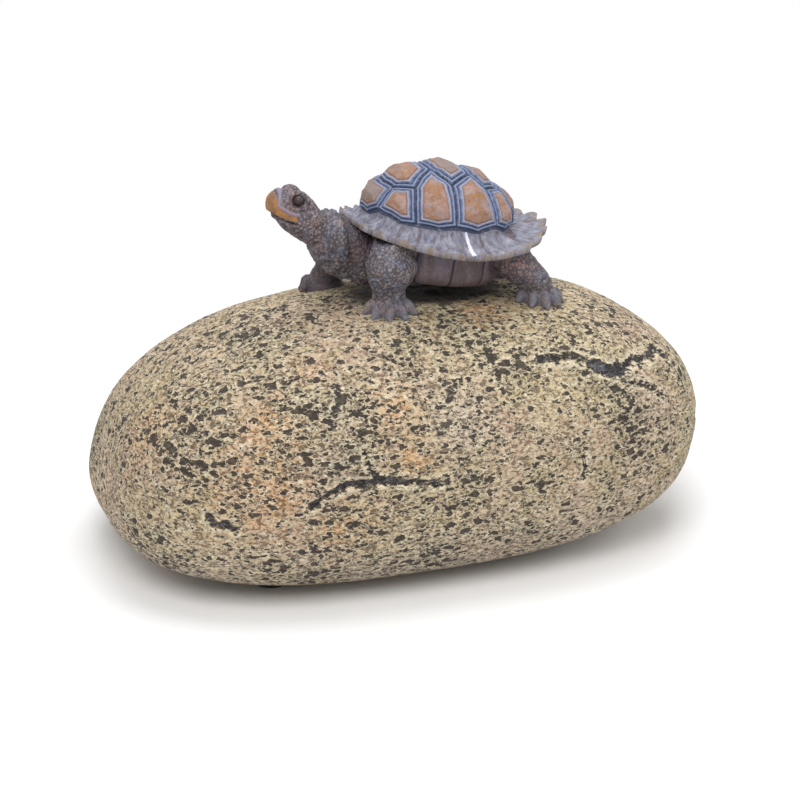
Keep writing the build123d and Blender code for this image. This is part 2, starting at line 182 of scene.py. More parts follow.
class Graph:
    """The node tree of one material or of the surroundings."""

    def __init__(self, name: str, owner: Optional[bpy.types.World] = None) -> None:
        """Start with an empty tree and its output node.

        Args:
            name: The material's name.
            owner: A world that has the tree instead of a material.
        """
        self.material = owner or bpy.data.materials.new(name)
        self.material.use_nodes = True
        self.tree = self.material.node_tree
        self.tree.nodes.clear()
        kind = "ShaderNodeOutputWorld" if owner else "ShaderNodeOutputMaterial"
        self.output = self.tree.nodes.new(kind)

    def node(
        self,
        kind: str,
        settings: Optional[dict[str, Any]] = None,
        values: Optional[dict[Union[int, str], Value]] = None,
        output: Union[int, str] = 0,
    ) -> Signal:
        """Add a node.

        Args:
            kind: The node's type.
            settings: Properties that are set first. "stops" are a ramp's places and colours.
            values: Values or links of its sockets, by name or number.
            output: Which output to hand back.

        Returns:
            That output as a signal.
        """
        made = self.tree.nodes.new(kind)
        for key, setting in (settings or {}).items():
            if key == "stops":
                self._set_stops(made.color_ramp, setting)
            else:
                setattr(made, key, setting)
        for key, value in (values or {}).items():
            if isinstance(value, Signal):
                self.tree.links.new(value.socket, made.inputs[key])
            else:
                made.inputs[key].default_value = value
        return Signal(self, made.outputs[output])

    @staticmethod
    def _set_stops(ramp: bpy.types.ColorRamp, stops: Sequence[tuple[float, Colour]]) -> None:
        """Give a ramp its stops."""
        while len(ramp.elements) < len(stops):
            ramp.elements.new(0.5)
        for element, (place, colour) in zip(ramp.elements, stops):
            element.position = place
            element.color = colour

    def place(self, stretch: tuple[float, float, float] = (1.0, 1.0, 1.0)) -> Signal:
        """The place on the object in millimetres, stretched along each axis."""
        spot = self.node("ShaderNodeTexCoord", output="Object")
        scale = tuple(share / MM for share in stretch)
        return self.node("ShaderNodeVectorMath", {"operation": "MULTIPLY"}, {0: spot, 1: scale})

    def noise(
        self, size: float, place: Optional[Signal] = None, detail: float = 3.0, rough: float = 0.55,
        warp: float = 0.0,
    ) -> Signal:
        """Cloudy noise about 0.5, with features of a size in millimetres."""
        values = {
            "Vector": place or self.place(),
            "Scale": 1 / size,
            "Detail": detail,
            "Roughness": rough,
            "Distortion": warp,
        }
        return self.node("ShaderNodeTexNoise", {}, values)

    def mark(self, name: str) -> Signal:
        """A value painted on the mesh's points."""
        return self.node("ShaderNodeAttribute", {"attribute_name": name}, {}, "Fac")

    def flow(self, name: str) -> Signal:
        """A direction or place painted on the mesh's points."""
        return self.node("ShaderNodeAttribute", {"attribute_name": name}, {}, "Vector")

    def blend(self, share: Value, under: Value, over: Value, kind: str = "MIX") -> Signal:
        """Lay one colour over another."""
        settings = {"data_type": "RGBA", "blend_type": kind, "clamp_factor": True}
        return self.node("ShaderNodeMix", settings, {0: share, 6: under, 7: over}, 2)

    def layers(self, under: Value, *coats: tuple[Value, Value]) -> Value:
        """Lay coats over a colour in their order, each given as its share and its colour."""
        for share, over in coats:
            under = self.blend(share, under, over)
        return under

    def ramp(self, share: Value, stops: Sequence[tuple[float, Colour]]) -> Signal:
        """Colours along a value from 0 to 1."""
        return self.node("ShaderNodeValToRGB", {"stops": stops}, {0: share})

    def bump(self, height: Value, depth: float, strength: float = 1.0) -> Signal:
        """Small relief of a depth in millimetres."""
        values = {"Height": height, "Distance": depth * MM, "Strength": strength}
        return self.node("ShaderNodeBump", {}, values, "Normal")

    def cells(self, size: float, place: Signal, output: str = "Distance") -> Signal:
        """Distance to the nearest of scattered seeds, or that cell's own random colour."""
        values = {"Vector": place, "Scale": 1 / size}
        return self.node("ShaderNodeTexVoronoi", {"feature": "F1"}, values, output)

    def shift(self, place: Signal, by: Signal, reach: float) -> Signal:
        """A place moved about by a noise's colour, up to a reach in millimetres."""
        centred = self.node("ShaderNodeVectorMath", {"operation": "SUBTRACT"}, {0: by, 1: (0.5, 0.5, 0.5)})
        scaled = self.node("ShaderNodeVectorMath", {"operation": "MULTIPLY"}, {0: centred, 1: (reach,) * 3})
        return self.node("ShaderNodeVectorMath", {"operation": "ADD"}, {0: place, 1: scaled})

    def camera_share(self) -> Signal:
        """1 for what the camera sees straight, in gloss or through glass, and 0 for other light."""
        camera, glossy, clear = (
            self.node("ShaderNodeLightPath", output=name)
            for name in ("Is Camera Ray", "Is Glossy Ray", "Is Transmission Ray")
        )
        return camera.most(glossy).most(clear)

    def surface(self, colour: Value, **sockets: Value) -> Signal:
        """A principled surface.

        Args:
            colour: The base colour.
            sockets: Other sockets, with underscores for the spaces of their names.

        Returns:
            The shader.
        """
        values: dict[Union[int, str], Value] = {"Base Color": colour}
        values.update({key.replace("_", " "): value for key, value in sockets.items()})
        return self.node("ShaderNodeBsdfPrincipled", {}, values)

    def close(self, shader: Signal) -> bpy.types.Material:
        """Send a shader to the output and hand back the material."""
        self.tree.links.new(shader.socket, self.output.inputs["Surface"])
        return self.material

    def finish(self, colour: Value, **sockets: Value) -> bpy.types.Material:
        """Close the material with a principled surface."""
        return self.close(self.surface(colour, **sockets))


# ------------------------------------------------------------------ forms and pieces


@dataclass
class Form:
    """Points in millimetres with the faces between them."""

    points: Array
    faces: list[tuple[int, ...]]

    @staticmethod
    def joined(forms: Sequence["Form"]) -> "Form":
        """Several forms as one."""
        points = np.concatenate([form.points for form in forms])
        faces: list[tuple[int, ...]] = []
        start = 0
        for form in forms:
            faces += [tuple(corner + start for corner in face) for face in form.faces]
            start += len(form.points)
        return Form(points, faces)

    @staticmethod
    def of_rings(rings: Array) -> "Form":
        """A skin over rings of points, closed by one face at each end.

        Args:
            rings: Rings, points around each, and their three coordinates.

        Returns:
            The form, with its faces outward where the rings turn left as they go on.
        """
        count, around = rings.shape[:2]
        faces: list[tuple[int, ...]] = []
        for ring in range(count - 1):
            low, high = ring * around, (ring + 1) * around
            for step in range(around):
                after = (step + 1) % around
                faces.append((low + step, low + after, high + after, high + step))
        faces.append(tuple(reversed(range(around))))
        faces.append(tuple(range((count - 1) * around, count * around)))
        return Form(rings.reshape(-1, 3), faces)

    def build(self, name: str) -> bpy.types.Object:
        """Make the form an object in metres."""
        mesh = bpy.data.meshes.new(name)
        mesh.from_pydata((self.points * MM).tolist(), [], self.faces)
        mesh.validate()
        piece = bpy.data.objects.new(name, mesh)
        bpy.context.scene.collection.objects.link(piece)
        return piece


def ball(centre: Sequence[float], radii: Sequence[float], tilt: float = 0.0, turn: float = 0.0) -> Form:
    """An egg-shaped form.

    Args:
        centre: Its middle.
        radii: Its half sizes.
        tilt: Degrees that its front, -X, is raised.
        turn: Degrees that it is then turned about Z.

    Returns:
        The form.
    """
    around, levels, pole = 20, 13, 0.1
    turns = np.linspace(0, 2 * np.pi, around, endpoint=False)
    rises = np.linspace(-np.pi / 2 + pole, np.pi / 2 - pole, levels)
    rings = np.empty((levels, around, 3))
    rings[..., 0] = np.cos(rises)[:, None] * np.cos(turns) * radii[0]
    rings[..., 1] = np.cos(rises)[:, None] * np.sin(turns) * radii[1]
    rings[..., 2] = np.sin(rises)[:, None] * radii[2]
    form = Form.of_rings(rings)
    form.points = turned(form.points, tilt, turn) + np.array(centre)
    return form


def turned(points: Array, tilt: float, turn: float) -> Array:
    """Points with their front, -X, raised by `tilt` degrees and then turned about Z by `turn`."""
    up, round_z = math.radians(tilt), math.radians(turn)
    x = points[:, 0] * math.cos(up) + points[:, 2] * math.sin(up)
    z = points[:, 2] * math.cos(up) - points[:, 0] * math.sin(up)
    across = points[:, 1]
    return np.stack(
        [x * math.cos(round_z) - across * math.sin(round_z),
         x * math.sin(round_z) + across * math.cos(round_z), z], axis=1
    )


def tube(sections: Array, around: int = 32, between: int = 7) -> Form:
    """A smooth limb through oval sections.

    Args:
        sections: For each section its centre, its half width as a vector and its half height as a vector.
        around: Points around each ring.
        between: Rings added between sections.

    Returns:
        The closed form.
    """
    knots = sections.reshape(len(sections), 9)
    padded = np.concatenate([2 * knots[:1] - knots[1:2], knots, 2 * knots[-1:] - knots[-2:-1]])
    rows = []
    for index in range(1, len(padded) - 2):
        before, start, end, after = padded[index - 1 : index + 3]
        for share in np.arange(between) / between:
            rows.append(
                0.5 * (2 * start + (end - before) * share
                       + (2 * before - 5 * start + 4 * end - after) * share**2
                       + (3 * start - before - 3 * end + after) * share**3)
            )
    rows.append(knots[-1])
    rows = np.array(rows)
    turns = np.linspace(0, 2 * np.pi, around, endpoint=False)
    rings = (
        rows[:, None, :3]
        + np.cos(turns)[None, :, None] * rows[:, None, 3:6]
        + np.sin(turns)[None, :, None] * rows[:, None, 6:9]
    )
    return Form.of_rings(rings)


def shown_mesh(piece: bpy.types.Object) -> bpy.types.Mesh:
    """The piece's mesh with its modifiers applied."""
    bpy.context.view_layer.update()
    depsgraph = bpy.context.evaluated_depsgraph_get()
    return bpy.data.meshes.new_from_object(piece.evaluated_get(depsgraph))


def applied(piece: bpy.types.Object) -> bpy.types.Object:
    """Make a piece's modifiers part of its mesh."""
    mesh = shown_mesh(piece)
    piece.modifiers.clear()
    piece.data = mesh
    return piece


def fused(name: str, forms: Sequence[Form], grain: float, passes: int) -> bpy.types.Object:
    """One closed skin around several forms.

    Args:
        name: The piece's name.
        forms: Closed forms that overlap.
        grain: Size of the new faces in millimetres.
        passes: How often the joins are smoothed.

    Returns:
        The piece.
    """
    piece = Form.joined(forms).build(name)
    remesh = piece.modifiers.new("skin", "REMESH")
    remesh.mode = "VOXEL"
    remesh.voxel_size = grain * MM
    soften = piece.modifiers.new("soften", "SMOOTH")
    soften.factor = 0.5
    soften.iterations = passes
    return applied(piece)


def places(piece: bpy.types.Object) -> Array:
    """A piece's points in millimetres."""
    flat = np.empty(len(piece.data.vertices) * 3, np.float32)
    piece.data.vertices.foreach_get("co", flat)
    return flat.reshape(-1, 3).astype(float) / MM


def normals(piece: bpy.types.Object) -> Array:
    """The direction that a piece's surface faces at each point."""
    flat = np.empty(len(piece.data.vertices) * 3, np.float32)
    piece.data.vertices.foreach_get("normal", flat)
    return flat.reshape(-1, 3).astype(float)


def move(piece: bpy.types.Object, points: Array) -> None:
    """Give a piece new points in millimetres."""
    piece.data.vertices.foreach_set("co", (points * MM).astype(np.float32).ravel())
    piece.data.update()


def push(piece: bpy.types.Object, amounts: Array) -> None:
    """Raise a piece's surface by an amount in millimetres at each point."""
    move(piece, places(piece) + normals(piece) * amounts[:, None])


def mark(piece: bpy.types.Object, name: str, values: Array) -> None:
    """Paint a value, or three, on each point of a piece for its finish to use."""
    several = values.ndim == 2
    layer = piece.data.attributes.new(name, "FLOAT_VECTOR" if several else "FLOAT", "POINT")
    layer.data.foreach_set("vector" if several else "value", values.astype(np.float32).ravel())


def dress(
    piece: bpy.types.Object, material: bpy.types.Material, replaced: Sequence[str] = (),
    body: str = ROCK,
) -> bpy.types.Object:
    """Give a piece its material, its body and what it stands for, and report it.

    Args:
        piece: The piece, in place.
        material: Its finish.
        replaced: The CAD nodes that it stands for.
        body: The CAD body that it moves with.

    Returns:
        The piece.
    """
    piece.data.materials.clear()
    piece.data.materials.append(material)
    piece.data.polygons.foreach_set("use_smooth", [True] * len(piece.data.polygons))
    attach(piece, body)
    if replaced:
        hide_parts(*replaced)
    log.info("%s: %d faces", piece.name, len(piece.data.polygons))
    return piece


# ------------------------------------------------------------------ finishes


@dataclass(frozen=True)
class PebbleFinish:
    """Painted cast stone: sandy ground, dark pits and cracks whose pale rims are dry brushing and painted
    highlight at once, stains, and a painted shadow under the tortoise.
    """

    sand: Colour = paint(178, 160, 124)
    khaki: Colour = paint(160, 145, 106)
    blush: Colour = paint(176, 150, 126)
    pale: Colour = paint(208, 194, 166)
    # Pale rims of pits and cracks: dry brushing that is also a painted highlight.
    lip: Colour = paint(224, 212, 184)
    lilac: Colour = paint(170, 154, 146)
    ochre: Colour = paint(198, 142, 86)
    sage: Colour = paint(98, 104, 94)
    chalk: Colour = paint(214, 206, 192)
    brown: Colour = paint(112, 94, 72)
    pit: Colour = paint(46, 39, 37)
    crack: Colour = paint(50, 44, 48)
    bare: Colour = paint(150, 140, 124)
    dint: Colour = paint(84, 70, 56)
    slate: Colour = paint(92, 96, 104)
    # Painted shadow on the crown under the tortoise's body.
    painted_shadow: Colour = paint(40, 36, 38)
    large: float = 2.4
    small: float = 1.3
    least_reach: float = 0.14
    spread_reach: float = 0.24
    own_reach: float = 0.26
    pit_depth: float = 0.7
    stretch: tuple[float, float, float] = (0.75, 0.75, 1.35)

    def pits(self, graph: Graph, size: float, spread: Signal) -> tuple[Signal, Signal]:
        """Scattered pits of ragged outline.

        Args:
            graph: The material's graph.
            size: Their spacing in millimetres.
            spread: How thick they lie, 0 to 1.

        Returns:
            How deep a place lies in a pit, and how much it is a pit's lip, which is painted pale as a
            highlight.
        """
        flat = graph.place(self.stretch)
        values = {"Vector": flat, "Scale": 1.8 / size, "Detail": 3.0}
        ragged = graph.node("ShaderNodeTexNoise", {}, values, "Color")
        spot = graph.shift(flat, ragged, size * 1.3)
        own = graph.node("ShaderNodeSeparateColor", {}, {0: graph.cells(size, spot, "Color")})
        reach = spread * self.spread_reach + (own - 0.5) * self.own_reach + self.least_reach
        gap = graph.cells(size, spot) - reach
        return 1 - gap.step(-0.07, 0.04), gap.step(0.02, 0.08) * (1 - gap.step(0.11, 0.22))

    def build(self) -> bpy.types.Material:
        """Make the material."""
        graph = Graph("pebble")
        flat = graph.place(self.stretch)
        cloud = graph.noise(30.0, detail=4.0)
        drift = graph.noise(9.0, detail=4.0, rough=0.6)
        grain = graph.noise(0.45, detail=3.0, rough=0.7)
        strokes = graph.noise(0.95, flat, detail=3.0, rough=0.6, warp=0.5)
        spread = (graph.mark("pits") * 0.65 + (drift - 0.5) * 1.2 + 0.34).step(0.0, 1.0)
        large, large_lip_highlight = self.pits(graph, self.large, spread)
        small, small_lip_highlight = self.pits(graph, self.small, spread * 0.8)
        dints = 1 - (strokes - spread * 0.06).step(0.38, 0.46)
        holes = large.most(small)
        lip_highlights = large_lip_highlight.most(small_lip_highlight * 0.8) * (1 - holes)
        gap = graph.mark("crack") + (strokes - 0.5) * 2.2
        cracks = 1 - gap.step(-0.1, 0.3)
        crack_lip_highlights = gap.step(0.2, 0.5) * (1 - gap.step(0.7, 1.3))
        ground = graph.layers(
            self.sand,
            (cloud.step(0.38, 0.62), self.blush),
            (drift.step(0.45, 0.62) * 0.7, self.khaki),
            (graph.mark("rim") * 0.75, self.lilac),
            (graph.mark("ochre") * 0.9, self.ochre),
            (graph.mark("sage") * 0.8, self.sage),
            (graph.mark("chalk") * 0.6, self.chalk),
            # Pale rims beside the strokes, round the pits and along the cracks are painted highlight as
            # well as dry brushing.
            (strokes.step(0.52, 0.64) * 0.4, self.lip),
            (grain.step(0.5, 0.68) * 0.3, self.pale),
            ((1 - grain.step(0.36, 0.5)) * 0.35, self.brown),
            (dints * (spread * 0.3 + 0.62), self.dint),
            (lip_highlights.most(crack_lip_highlights) * 0.7, self.lip),
        )
        vein = graph.blend(strokes.step(0.46, 0.62), self.crack, self.slate)
        under = graph.mark("base")
        plain = graph.blend(grain.step(0.3, 0.7), self.bare, self.sand)
        colour = graph.layers(
            ground,
            (holes * 0.9, self.pit),
            (cracks * 0.95, vein),
            # Painted shadow under the tortoise, marked "shade".
            (graph.mark("shade") * 0.9, self.painted_shadow),
            (under, plain),
        )
        relief = strokes * 0.5 + grain * 0.15 + lip_highlights * 0.2 - dints * 0.25 - holes * 0.8 - cracks * 0.9
        height = relief * (1 - under) + under * grain * 0.3
        rough = 0.8 + holes * 0.12
        return graph.finish(colour, Roughness=rough, Normal=graph.bump(height, self.pit_depth))


@dataclass(frozen=True)
class ShellFinish:
    """Painted scutes: tan centres in blue ridges with navy grooves, and a lilac rim."""

    navy: Colour = paint(48, 56, 80)
    slate: Colour = paint(92, 108, 142)
    mist: Colour = paint(128, 140, 170)
    pearl: Colour = paint(142, 138, 154)
    umber: Colour = paint(96, 76, 66)
    dull: Colour = paint(122, 112, 112)
    tan: Colour = paint(142, 104, 80)
    rose: Colour = paint(152, 124, 116)
    honey: Colour = paint(142, 102, 58)
    steel: Colour = paint(126, 132, 140)
    lilac: Colour = paint(138, 138, 152)
    chalk: Colour = paint(176, 178, 190)
    earth: Colour = paint(132, 114, 90)
    shade: Colour = paint(88, 84, 96)
    white: Colour = paint(232, 228, 240)

    def build(self) -> bpy.types.Material:
        """Make the material."""
        graph = Graph("shell")
        fine = graph.noise(0.7, detail=3.0, rough=0.65)
        soft = graph.noise(2.6, detail=4.0, rough=0.6)
        gap = graph.mark("seam") + (fine - 0.5) * 0.5 + (soft - 0.5) * 0.3
        stops = [
            (0.0, self.navy), (0.06, self.navy), (0.11, self.slate), (0.16, self.mist),
            (0.22, self.slate), (0.26, self.navy), (0.29, self.navy), (0.34, self.slate),
            (0.41, self.pearl), (0.49, self.pearl), (0.53, self.umber), (0.57, self.tan), (1.0, self.tan),
        ]
        centre = gap.step(2.2, 2.5)
        upright = graph.noise(3.2, graph.place((1.6, 1.6, 0.7)))
        face = graph.layers(
            self.tan,
            (soft.step(0.42, 0.6), self.rose),
            (graph.noise(4.0, detail=3.0).step(0.5, 0.64) * 0.85, self.honey),
            (upright.step(0.56, 0.68) * 0.5, self.steel),
            ((1 - fine.step(0.34, 0.5)) * 0.45, self.umber),
            (graph.mark("dull") * soft.step(0.3, 0.55) * 0.75, self.dull),
        )
        worn = graph.noise(1.1, detail=4.0, rough=0.7).step(0.53, 0.68)
        scute = graph.layers(
            graph.ramp(gap * 0.25, stops),
            (centre, face),
            (worn * (1 - centre) * 0.6, self.pearl),
            ((1 - fine.step(0.3, 0.46)) * (1 - centre) * 0.4, self.navy),
        )
        streak = graph.noise(1.2, graph.flow("flow"), detail=4.0, rough=0.65)
        edge = graph.mark("edge") + (soft - 0.5) * 0.6
        seam = graph.mark("joint") + (soft - 0.5) * 1.2
        white_line = graph.mark("white_line") + (fine - 0.5) * 0.6
        rim = graph.layers(
            self.shade,
            (streak.step(0.32, 0.62), self.lilac),
            (streak.step(0.55, 0.75) * 0.6, self.chalk),
            (soft.step(0.5, 0.7) * 0.35, self.slate),
            (edge.step(0.74, 0.98) * soft.step(0.36, 0.6) * 0.75, self.earth),
            ((1 - seam.step(0.05, 0.4)) * 0.7, self.umber),
            # A thin white line down the rim at one place round the shell.
            ((1 - white_line.step(0.2, 0.45)) * (1 - edge.step(0.85, 0.95)) * 0.9, self.white),
            ((1 - fine.step(0.3, 0.46)) * 0.4, self.shade),
        )
        colour = graph.blend(graph.mark("rim"), scute, rim)
        height = fine * 0.5 + streak * graph.mark("rim") * 0.6 + worn * 0.2
        return graph.finish(colour, Roughness=0.62, Normal=graph.bump(height, 0.3))


@dataclass(frozen=True)
class SkinFinish:
    """Painted scaly skin: a dark wash between its scales that is also painted shade in the creases, pale
    dry brushing on top of them that is also a painted highlight, and painted shade in hollows.
    """

    # Painted shade in the creases between scales, as a dark wash.
    crease_shade: Colour = paint(50, 43, 48)
    hide: Colour = paint(116, 107, 110)
    cool: Colour = paint(106, 108, 122)
    # Painted highlight on the scale tops, as dry brushing.
    brushed_highlight: Colour = paint(172, 166, 168)
    clay: Colour = paint(140, 118, 104)
    rust: Colour = paint(148, 92, 74)
    beak: Colour = paint(168, 112, 56)
    beak_shade: Colour = paint(126, 92, 62)
    line: Colour = paint(142, 132, 160)
    mouth: Colour = paint(34, 22, 22)
    # Painted shade in the eye hollows, in the neck's recess under the shell and on the splayed far front
    # leg.
    socket: Colour = paint(52, 36, 42)

    def build(self) -> bpy.types.Material:
        """Make the material."""
        graph = Graph("skin")
        fine = graph.noise(0.5, detail=3.0, rough=0.65)
        soft = graph.noise(3.4, detail=3.0)
        top = graph.mark("scale") + (fine - 0.5) * 0.7
        # Painted highlight on the scale tops and painted shade in the creases between them.
        top_highlight = top.step(0.5, 0.85) * graph.noise(1.5, detail=3.0).step(0.38, 0.6)
        hide = graph.layers(
            self.hide,
            (soft.step(0.42, 0.6), self.cool),
            (graph.noise(5.0, detail=2.0).step(0.5, 0.66) * 0.4, self.clay),
            ((1 - top.step(0.02, 0.34)) * 0.8, self.crease_shade),
            (top_highlight * 0.45, self.brushed_highlight),
            (graph.mark("rust") * top.step(0.1, 0.5) * 0.75, self.rust),
        )
        beak = graph.layers(
            self.beak_shade,
            (soft.step(0.4, 0.6), self.beak),
            ((1 - fine.step(0.32, 0.5)) * 0.4, self.mouth),
        )
        colour = graph.layers(
            hide,
            (graph.mark("beak") * 0.92, beak),
            (graph.mark("line") * fine.step(0.28, 0.5) * 0.7, self.line),
            (graph.mark("mouth"), self.mouth),
            (graph.mark("socket") * 0.85, self.socket),
        )
        return graph.finish(colour, Roughness=0.66, Normal=graph.bump(fine * 0.5 + top * 0.25, 0.26))


@dataclass(frozen=True)
class BellyFinish:
    """Painted lower shell: brown-lilac plates with dark seams, darker towards the bottom."""

    plate: Colour = paint(108, 98, 108)
    warm: Colour = paint(90, 76, 78)
    pale: Colour = paint(146, 134, 140)
    seam: Colour = paint(38, 30, 36)

    def build(self) -> bpy.types.Material:
        """Make the material."""
        graph = Graph("belly")
        upright = graph.noise(2.4, graph.place((1.0, 1.0, 0.3)), detail=4.0)
        fine = graph.noise(0.7)
        colour = graph.layers(
            self.warm,
            (upright.step(0.4, 0.62), self.plate),
            (fine.step(0.56, 0.7) * 0.5, self.pale),
            # Darker towards the bottom.
            (graph.mark("low") * 0.6, self.warm),
            (1 - graph.mark("joint").step(0.12, 0.42), self.seam),
        )
        return graph.finish(colour, Roughness=0.64, Normal=graph.bump(fine + upright * 0.5, 0.2))


@dataclass(frozen=True)
class EyeFinish:
    """Gloss-painted dark eye."""

    iris: Colour = paint(48, 26, 20)
    pupil: Colour = paint(10, 8, 9)

    def build(self) -> bpy.types.Material:
        """Make the material."""
        graph = Graph("eye")
        colour = graph.blend(graph.noise(0.6).step(0.4, 0.6), self.pupil, self.iris)
        return graph.finish(colour, Roughness=0.5, Coat_Weight=0.1)


@dataclass(frozen=True)
class MouldedFinish:
    """Moulded plastic or rubber with a fine spark texture and faint scuffs."""

    name: str
    colour: Colour
    scuffed: Colour
    rough: float
    grain: float = 0.35
    depth: float = 0.05

    def build(self) -> bpy.types.Material:
        """Make the material."""
        graph = Graph(self.name)
        spark = graph.noise(self.grain, detail=2.0)
        scuff = graph.noise(6.0, graph.place((0.25, 1.0, 1.0)), detail=5.0, rough=0.7)
        colour = graph.blend(scuff.step(0.55, 0.75) * 0.5, self.colour, self.scuffed)
        rough = self.rough + scuff * 0.15
        return graph.finish(colour, Roughness=rough, Normal=graph.bump(spark, self.depth))


@dataclass(frozen=True)
class FoamFinish:
    """Closed-cell foam: a dull skin of small open bubbles."""

    colour: Colour = paint(58, 60, 64)
    hole: Colour = paint(26, 27, 30)
    bubble: float = 0.7

    def build(self) -> bpy.types.Material:
        """Make the material."""
        graph = Graph("foam")
        cell = graph.cells(self.bubble, graph.place())
        colour = graph.blend(cell.step(0.2, 0.5), self.hole, self.colour)
        return graph.finish(colour, Roughness=0.95, Normal=graph.bump(cell, 0.2))


@dataclass(frozen=True)
class SteelFinish:
    """Zinc-plated steel with fine turning marks."""

    bright: Colour = paint(190, 192, 196)
    dull: Colour = paint(140, 141, 144)

    def build(self) -> bpy.types.Material:
        """Make the material."""
        graph = Graph("zinc_steel")
        marks = graph.noise(0.5, graph.place((1.0, 1.0, 6.0)), detail=4.0)
        colour = graph.blend(marks.step(0.35, 0.65), self.dull, self.bright)
        rough = 0.28 + marks * 0.2
        return graph.finish(colour, Metallic=1.0, Roughness=rough, Normal=graph.bump(marks, 0.02))


# ------------------------------------------------------------------ pebble


class Stain(Enum):
    """What a patch of the pebble is tinted with."""

    PITS = "pits"
    OCHRE = "ochre"
    SAGE = "sage"
    CHALK = "chalk"


@dataclass(frozen=True)
class Patch:
    """A soft patch on the pebble's near side: along, height, reach and strength."""

    stain: Stain
    along: float
    height: float
    reach: float
    strength: float = 1.0


@dataclass
class Pebble:
    """The cast pebble, in millimetres from its waist as its solid is."""

    front: float = 74.4
    back: float = 73.9
    half_width: float = 50.0
    base: float = 2.0
    waist: float = 22.0
    rise: float = 38.5
    drop: float = 25.0
    plan_power: float = 2.87
    side_power: float = 2.41
    lean: float = 0.22
    around: int = 620
    levels: int = 150
    pocket_gap: float = 0.3
    pocket_half_width: float = 18.2
    pocket_corner: float = 3.3
    well_half: tuple[float, float] = (33.1, 16.1)
    well_corner: float = 7.1
    well_headroom: float = 0.5
    ear_radius: float = 4.5
    ear_inset: float = 2.8
    channel_reach: float = 30.0
    cut_below: float = 1.5
    cracks: tuple[tuple[float, tuple[tuple[float, float], ...]], ...] = (
        (0.50, ((-37.0, 27.6), (-34.5, 29.2), (-32.5, 30.6))),
        (0.65, ((-32.5, 30.6), (-30.2, 31.6), (-27.3, 32.4), (-24.0, 32.2))),
        (0.79, ((-24.0, 32.2), (-20.2, 32.6), (-17.0, 32.2), (-14.0, 31.4))),
        (0.50, ((-14.0, 31.4), (-10.5, 30.8), (-6.0, 30.0))),
        (0.36, ((-20.2, 33.0), (-22.6, 36.6), (-23.4, 39.0))),
        (0.65, ((24.0, 52.2), (28.0, 51.6), (33.0, 51.4), (37.8, 49.4))),
        (1.22, ((37.8, 49.4), (41.7, 47.6), (44.6, 47.4))),
        (0.58, ((44.6, 47.4), (48.8, 48.6), (53.0, 47.6), (57.4, 48.8), (60.4, 46.0))),
        (0.36, ((46.0, 45.0), (51.0, 43.6), (55.0, 40.0))),
        (0.58, ((-57.8, 25.6), (-56.6, 23.8), (-54.6, 24.4), (-53.2, 23.0))),
        (0.50, ((30.4, 31.6), (30.2, 28.6), (29.4, 26.6))),
        (0.36, ((-49.0, 57.2), (-45.6, 57.4), (-42.4, 56.0))),
    )
    patches: tuple[Patch, ...] = (
        Patch(Stain.PITS, -38.0, 49.6, 9.0), Patch(Stain.PITS, -60.2, 41.3, 9.0),
        Patch(Stain.PITS, -24.0, 46.0, 12.0), Patch(Stain.PITS, -8.0, 20.0, 12.0, 0.7),
        Patch(Stain.SAGE, -27.7, 48.0, 5.0), Patch(Stain.SAGE, -29.2, 37.4, 5.5),
        Patch(Stain.SAGE, 42.0, 46.9, 5.0), Patch(Stain.SAGE, 48.0, 40.0, 5.0, 0.7),
        Patch(Stain.CHALK, 0.2, 43.7, 6.5), Patch(Stain.CHALK, -29.0, 57.0, 6.0, 0.4),
        Patch(Stain.OCHRE, -66.0, 38.0, 8.0), Patch(Stain.OCHRE, -42.6, 43.8, 8.0),
        Patch(Stain.OCHRE, -47.0, 33.0, 12.0), Patch(Stain.OCHRE, -28.7, 23.5, 9.0, 0.8),
        Patch(Stain.OCHRE, -14.8, 46.6, 6.0), Patch(Stain.OCHRE, -12.0, 37.0, 5.0),
        Patch(Stain.OCHRE, 17.6, 59.2, 6.0), Patch(Stain.OCHRE, -30.0, 54.0, 5.0, 0.6),
    )

    def base_angle(self) -> float:
        """The angle down the side where the flat base cuts it."""
        share = (self.waist - self.base) / self.drop
        return -math.asin(share ** (self.side_power / 2))

    def rings(self) -> Array:
        """Rings of points from the base to the crown, evenly spaced up the side."""
        rises = np.linspace(self.base_angle(), np.pi / 2 - 0.02, 4000)
        power = 2 / self.side_power
        reach = np.where(rises > 0, self.rise, self.drop)
        heights = reach * np.sign(rises) * np.abs(np.sin(rises)) ** power
        sizes = np.cos(rises) ** power
        steps = np.hypot(np.diff(heights), np.diff(sizes) * (self.front + self.half_width) / 2)
        walked = np.concatenate([[0.0], np.cumsum(steps)])
        stops = np.linspace(0.0, walked[-1], self.levels)
        height, size = np.interp(stops, walked, heights), np.interp(stops, walked, sizes)
        turns = np.linspace(0, 2 * np.pi, self.around, endpoint=False)
        along, across = np.cos(turns), np.sin(turns)
        out = (np.abs(along) ** self.plan_power + np.abs(across) ** self.plan_power) ** (
            -1 / self.plan_power
        )
        end = np.where(along > 0, self.back, self.front)
        rings = np.empty((self.levels, self.around, 3))
        rings[..., 0] = size[:, None] * (along * out * end) + self.lean * height[:, None]
        rings[..., 1] = size[:, None] * (across * out * self.half_width)
        rings[..., 2] = self.waist + height[:, None]
        return rings

    def near_side(self, along: float, height: float) -> Array:
        """The place on the pebble's near side, towards -Y, at a length and a height."""
        level = height - self.waist
        reach = self.rise if level > 0 else self.drop
        size = (1 - (abs(level) / reach) ** self.side_power) ** (1 / self.side_power)
        x = along - self.lean * level
        end = self.back if x > 0 else self.front
        share = abs(x / (end * size)) ** self.plan_power
        across = self.half_width * size * max(0.0, 1 - share) ** (1 / self.plan_power)
        return np.array([along, -across, height])

